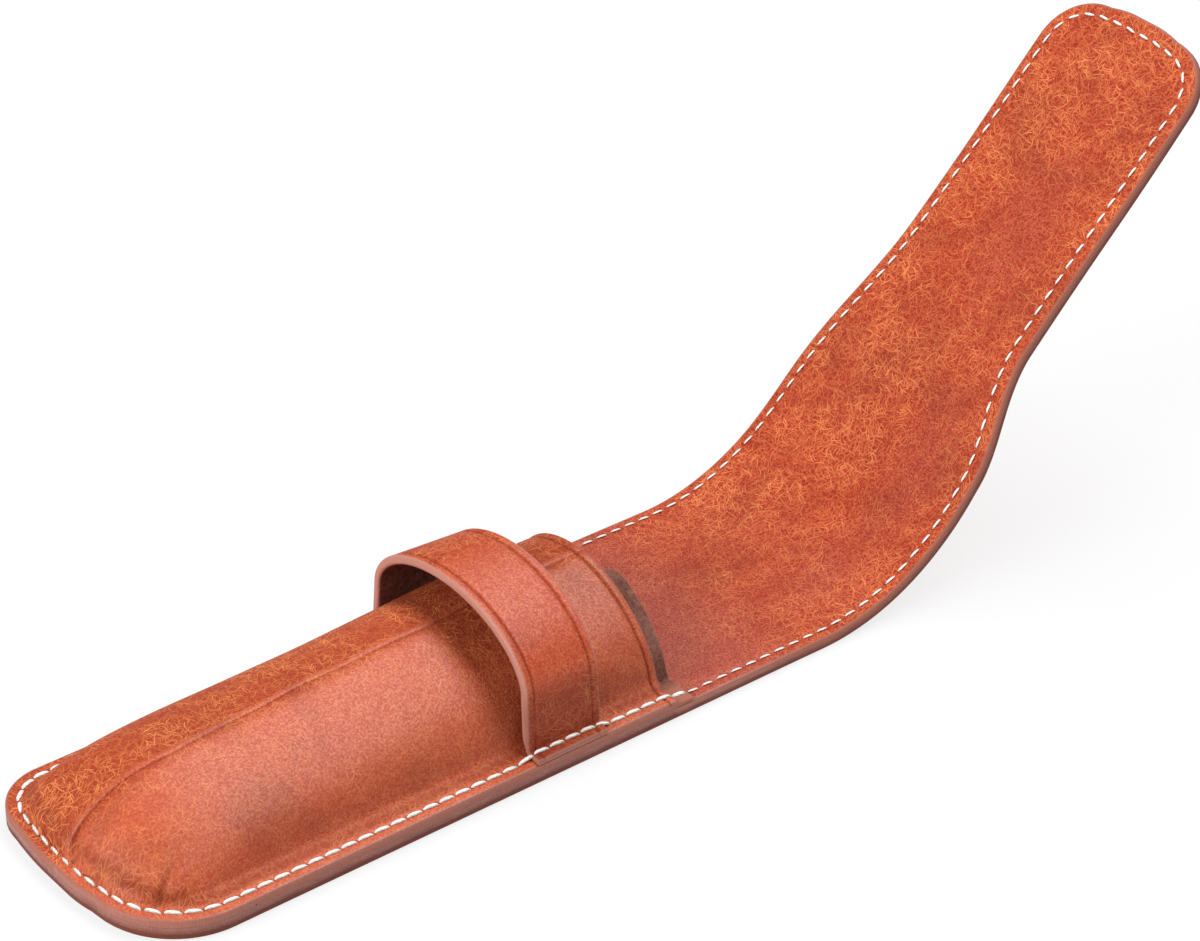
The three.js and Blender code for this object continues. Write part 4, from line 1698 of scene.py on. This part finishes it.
@dataclass
class Studio:
    """Camera, floor and soft light."""

    eye: tuple[float, float, float] = (512.77, -421.22, 483.96)
    azimuth: float = 50.45
    elevation: float = 33.55
    roll: float = 1.52
    focal_share: float = 4017.1 / 1200.0
    sensor: float = 36.0
    floor_size: float = 8.0
    floor_gap: float = 0.0002
    floor_glow: float = 0.8
    surround: float = 0.25

    def camera(self) -> None:
        """Sets the camera at the photograph's viewing angle."""
        turn, lift, roll = (math.radians(angle) for angle in (self.azimuth, self.elevation, self.roll))
        back = Vector((math.sin(turn) * math.cos(lift), -math.cos(turn) * math.cos(lift), math.sin(lift)))
        right = Vector((math.cos(turn), math.sin(turn), 0.0))
        up = back.cross(right)
        level = math.cos(roll) * right + math.sin(roll) * up
        upright = math.cos(roll) * up - math.sin(roll) * right
        turned = Matrix((level, upright, back)).transposed().to_4x4()
        data = bpy.data.cameras.new("camera")
        data.sensor_width = self.sensor
        data.lens = self.sensor * self.focal_share
        data.clip_start = 0.01
        camera = bpy.data.objects.new("camera", data)
        bpy.context.scene.collection.objects.link(camera)
        camera.matrix_world = Matrix.Translation(Vector(self.eye) * MM) @ turned
        bpy.context.scene.camera = camera

    def lamp(self, name: str, place: Sequence[float], size: tuple[float, float], power: float) -> None:
        """Adds a soft lamp that points at the case.

        Args:
            name: the lamp's name.
            place: where it stands, in metres.
            size: width and height of its face, in metres.
            power: watts.
        """
        data = bpy.data.lights.new(name, "AREA")
        data.shape = "RECTANGLE"
        data.size, data.size_y = size
        data.energy = power
        lamp = bpy.data.objects.new(name, data)
        bpy.context.scene.collection.objects.link(lamp)
        lamp.location = place
        lamp.rotation_euler = (-Vector(place)).to_track_quat("-Z", "Y").to_euler()

    def floor(self) -> None:
        """Adds a white floor that keeps a soft shadow."""
        bpy.ops.object.select_all(action="DESELECT")
        bpy.ops.mesh.primitive_plane_add(size=self.floor_size, location=(0.0, 0.0, -self.floor_gap))
        floor = bpy.context.active_object
        floor.name = "floor"
        graph = Graph("white_floor")
        kinds = ("Camera", "Glossy", "Transmission")
        rays = [graph.node("ShaderNodeLightPath", {}, {}, f"Is {kind} Ray") for kind in kinds]
        seen = rays[0].most(rays[1]).most(rays[2])
        paint = graph.node("ShaderNodeBsdfDiffuse", {}, {"Color": (0.85, 0.85, 0.85, 1.0)})
        glow = graph.node("ShaderNodeEmission", {}, {"Color": (1.0, 1.0, 1.0, 1.0), "Strength": 1.0})
        graph.finish(graph.node("ShaderNodeMixShader", {}, {0: seen * self.floor_glow, 1: paint, 2: glow}))
        floor.data.materials.append(graph.material)

    def light(self) -> None:
        """Adds the lamps and the pale surround."""
        self.lamp("flap_side_key", (-0.02, 0.34, 0.94), (1.3, 0.5), 10.1)
        self.lamp("tail_side_fill", (0.0, -0.98, 0.48), (0.6, 0.6), 8.5)
        world = bpy.data.worlds.new("surround")
        bpy.context.scene.world = world
        world.use_nodes = True
        background = world.node_tree.nodes["Background"]
        background.inputs["Color"].default_value = (1.0, 1.0, 1.0, 1.0)
        background.inputs["Strength"].default_value = self.surround
        bpy.context.scene.view_settings.view_transform = "Standard"

    def build(self) -> None:
        """Sets the whole studio up."""
        self.camera()
        self.floor()
        self.light()


def main() -> None:
    """Builds every piece of the case in order."""
    logging.basicConfig(level=logging.INFO, format="%(name)s: %(message)s")
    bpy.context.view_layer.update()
    Studio().build()
    finishes = Finishes()
    outline = Outline()
    grid = SheetGrid(outline)
    tongue_wear = BarePatch(x=4.0, along=136.0, half_width=9.0, half_length=19.0, amount=0.65)
    bend_wear = BarePatch(x=15.0, along=78.0, half_width=8.0, half_length=32.0, amount=0.5)
    bare = (tongue_wear, bend_wear)
    LeatherSheet("outer", grid, Slot.OUTER, face_up=False).build(finishes.outer)
    LeatherSheet("lining", grid, Slot.LINING, face_up=True, bare=bare).build(finishes.lining)
    front = MouldedFront(outline, grid)
    front.build(finishes)
    strap = KeeperStrap(outline, grid)
    strap.build(finishes)
    divider = BayDivider(front)
    divider.build(finishes)
    Stitching(outline, strap, divider).build(finishes)


if __name__ == "__main__":
    main()
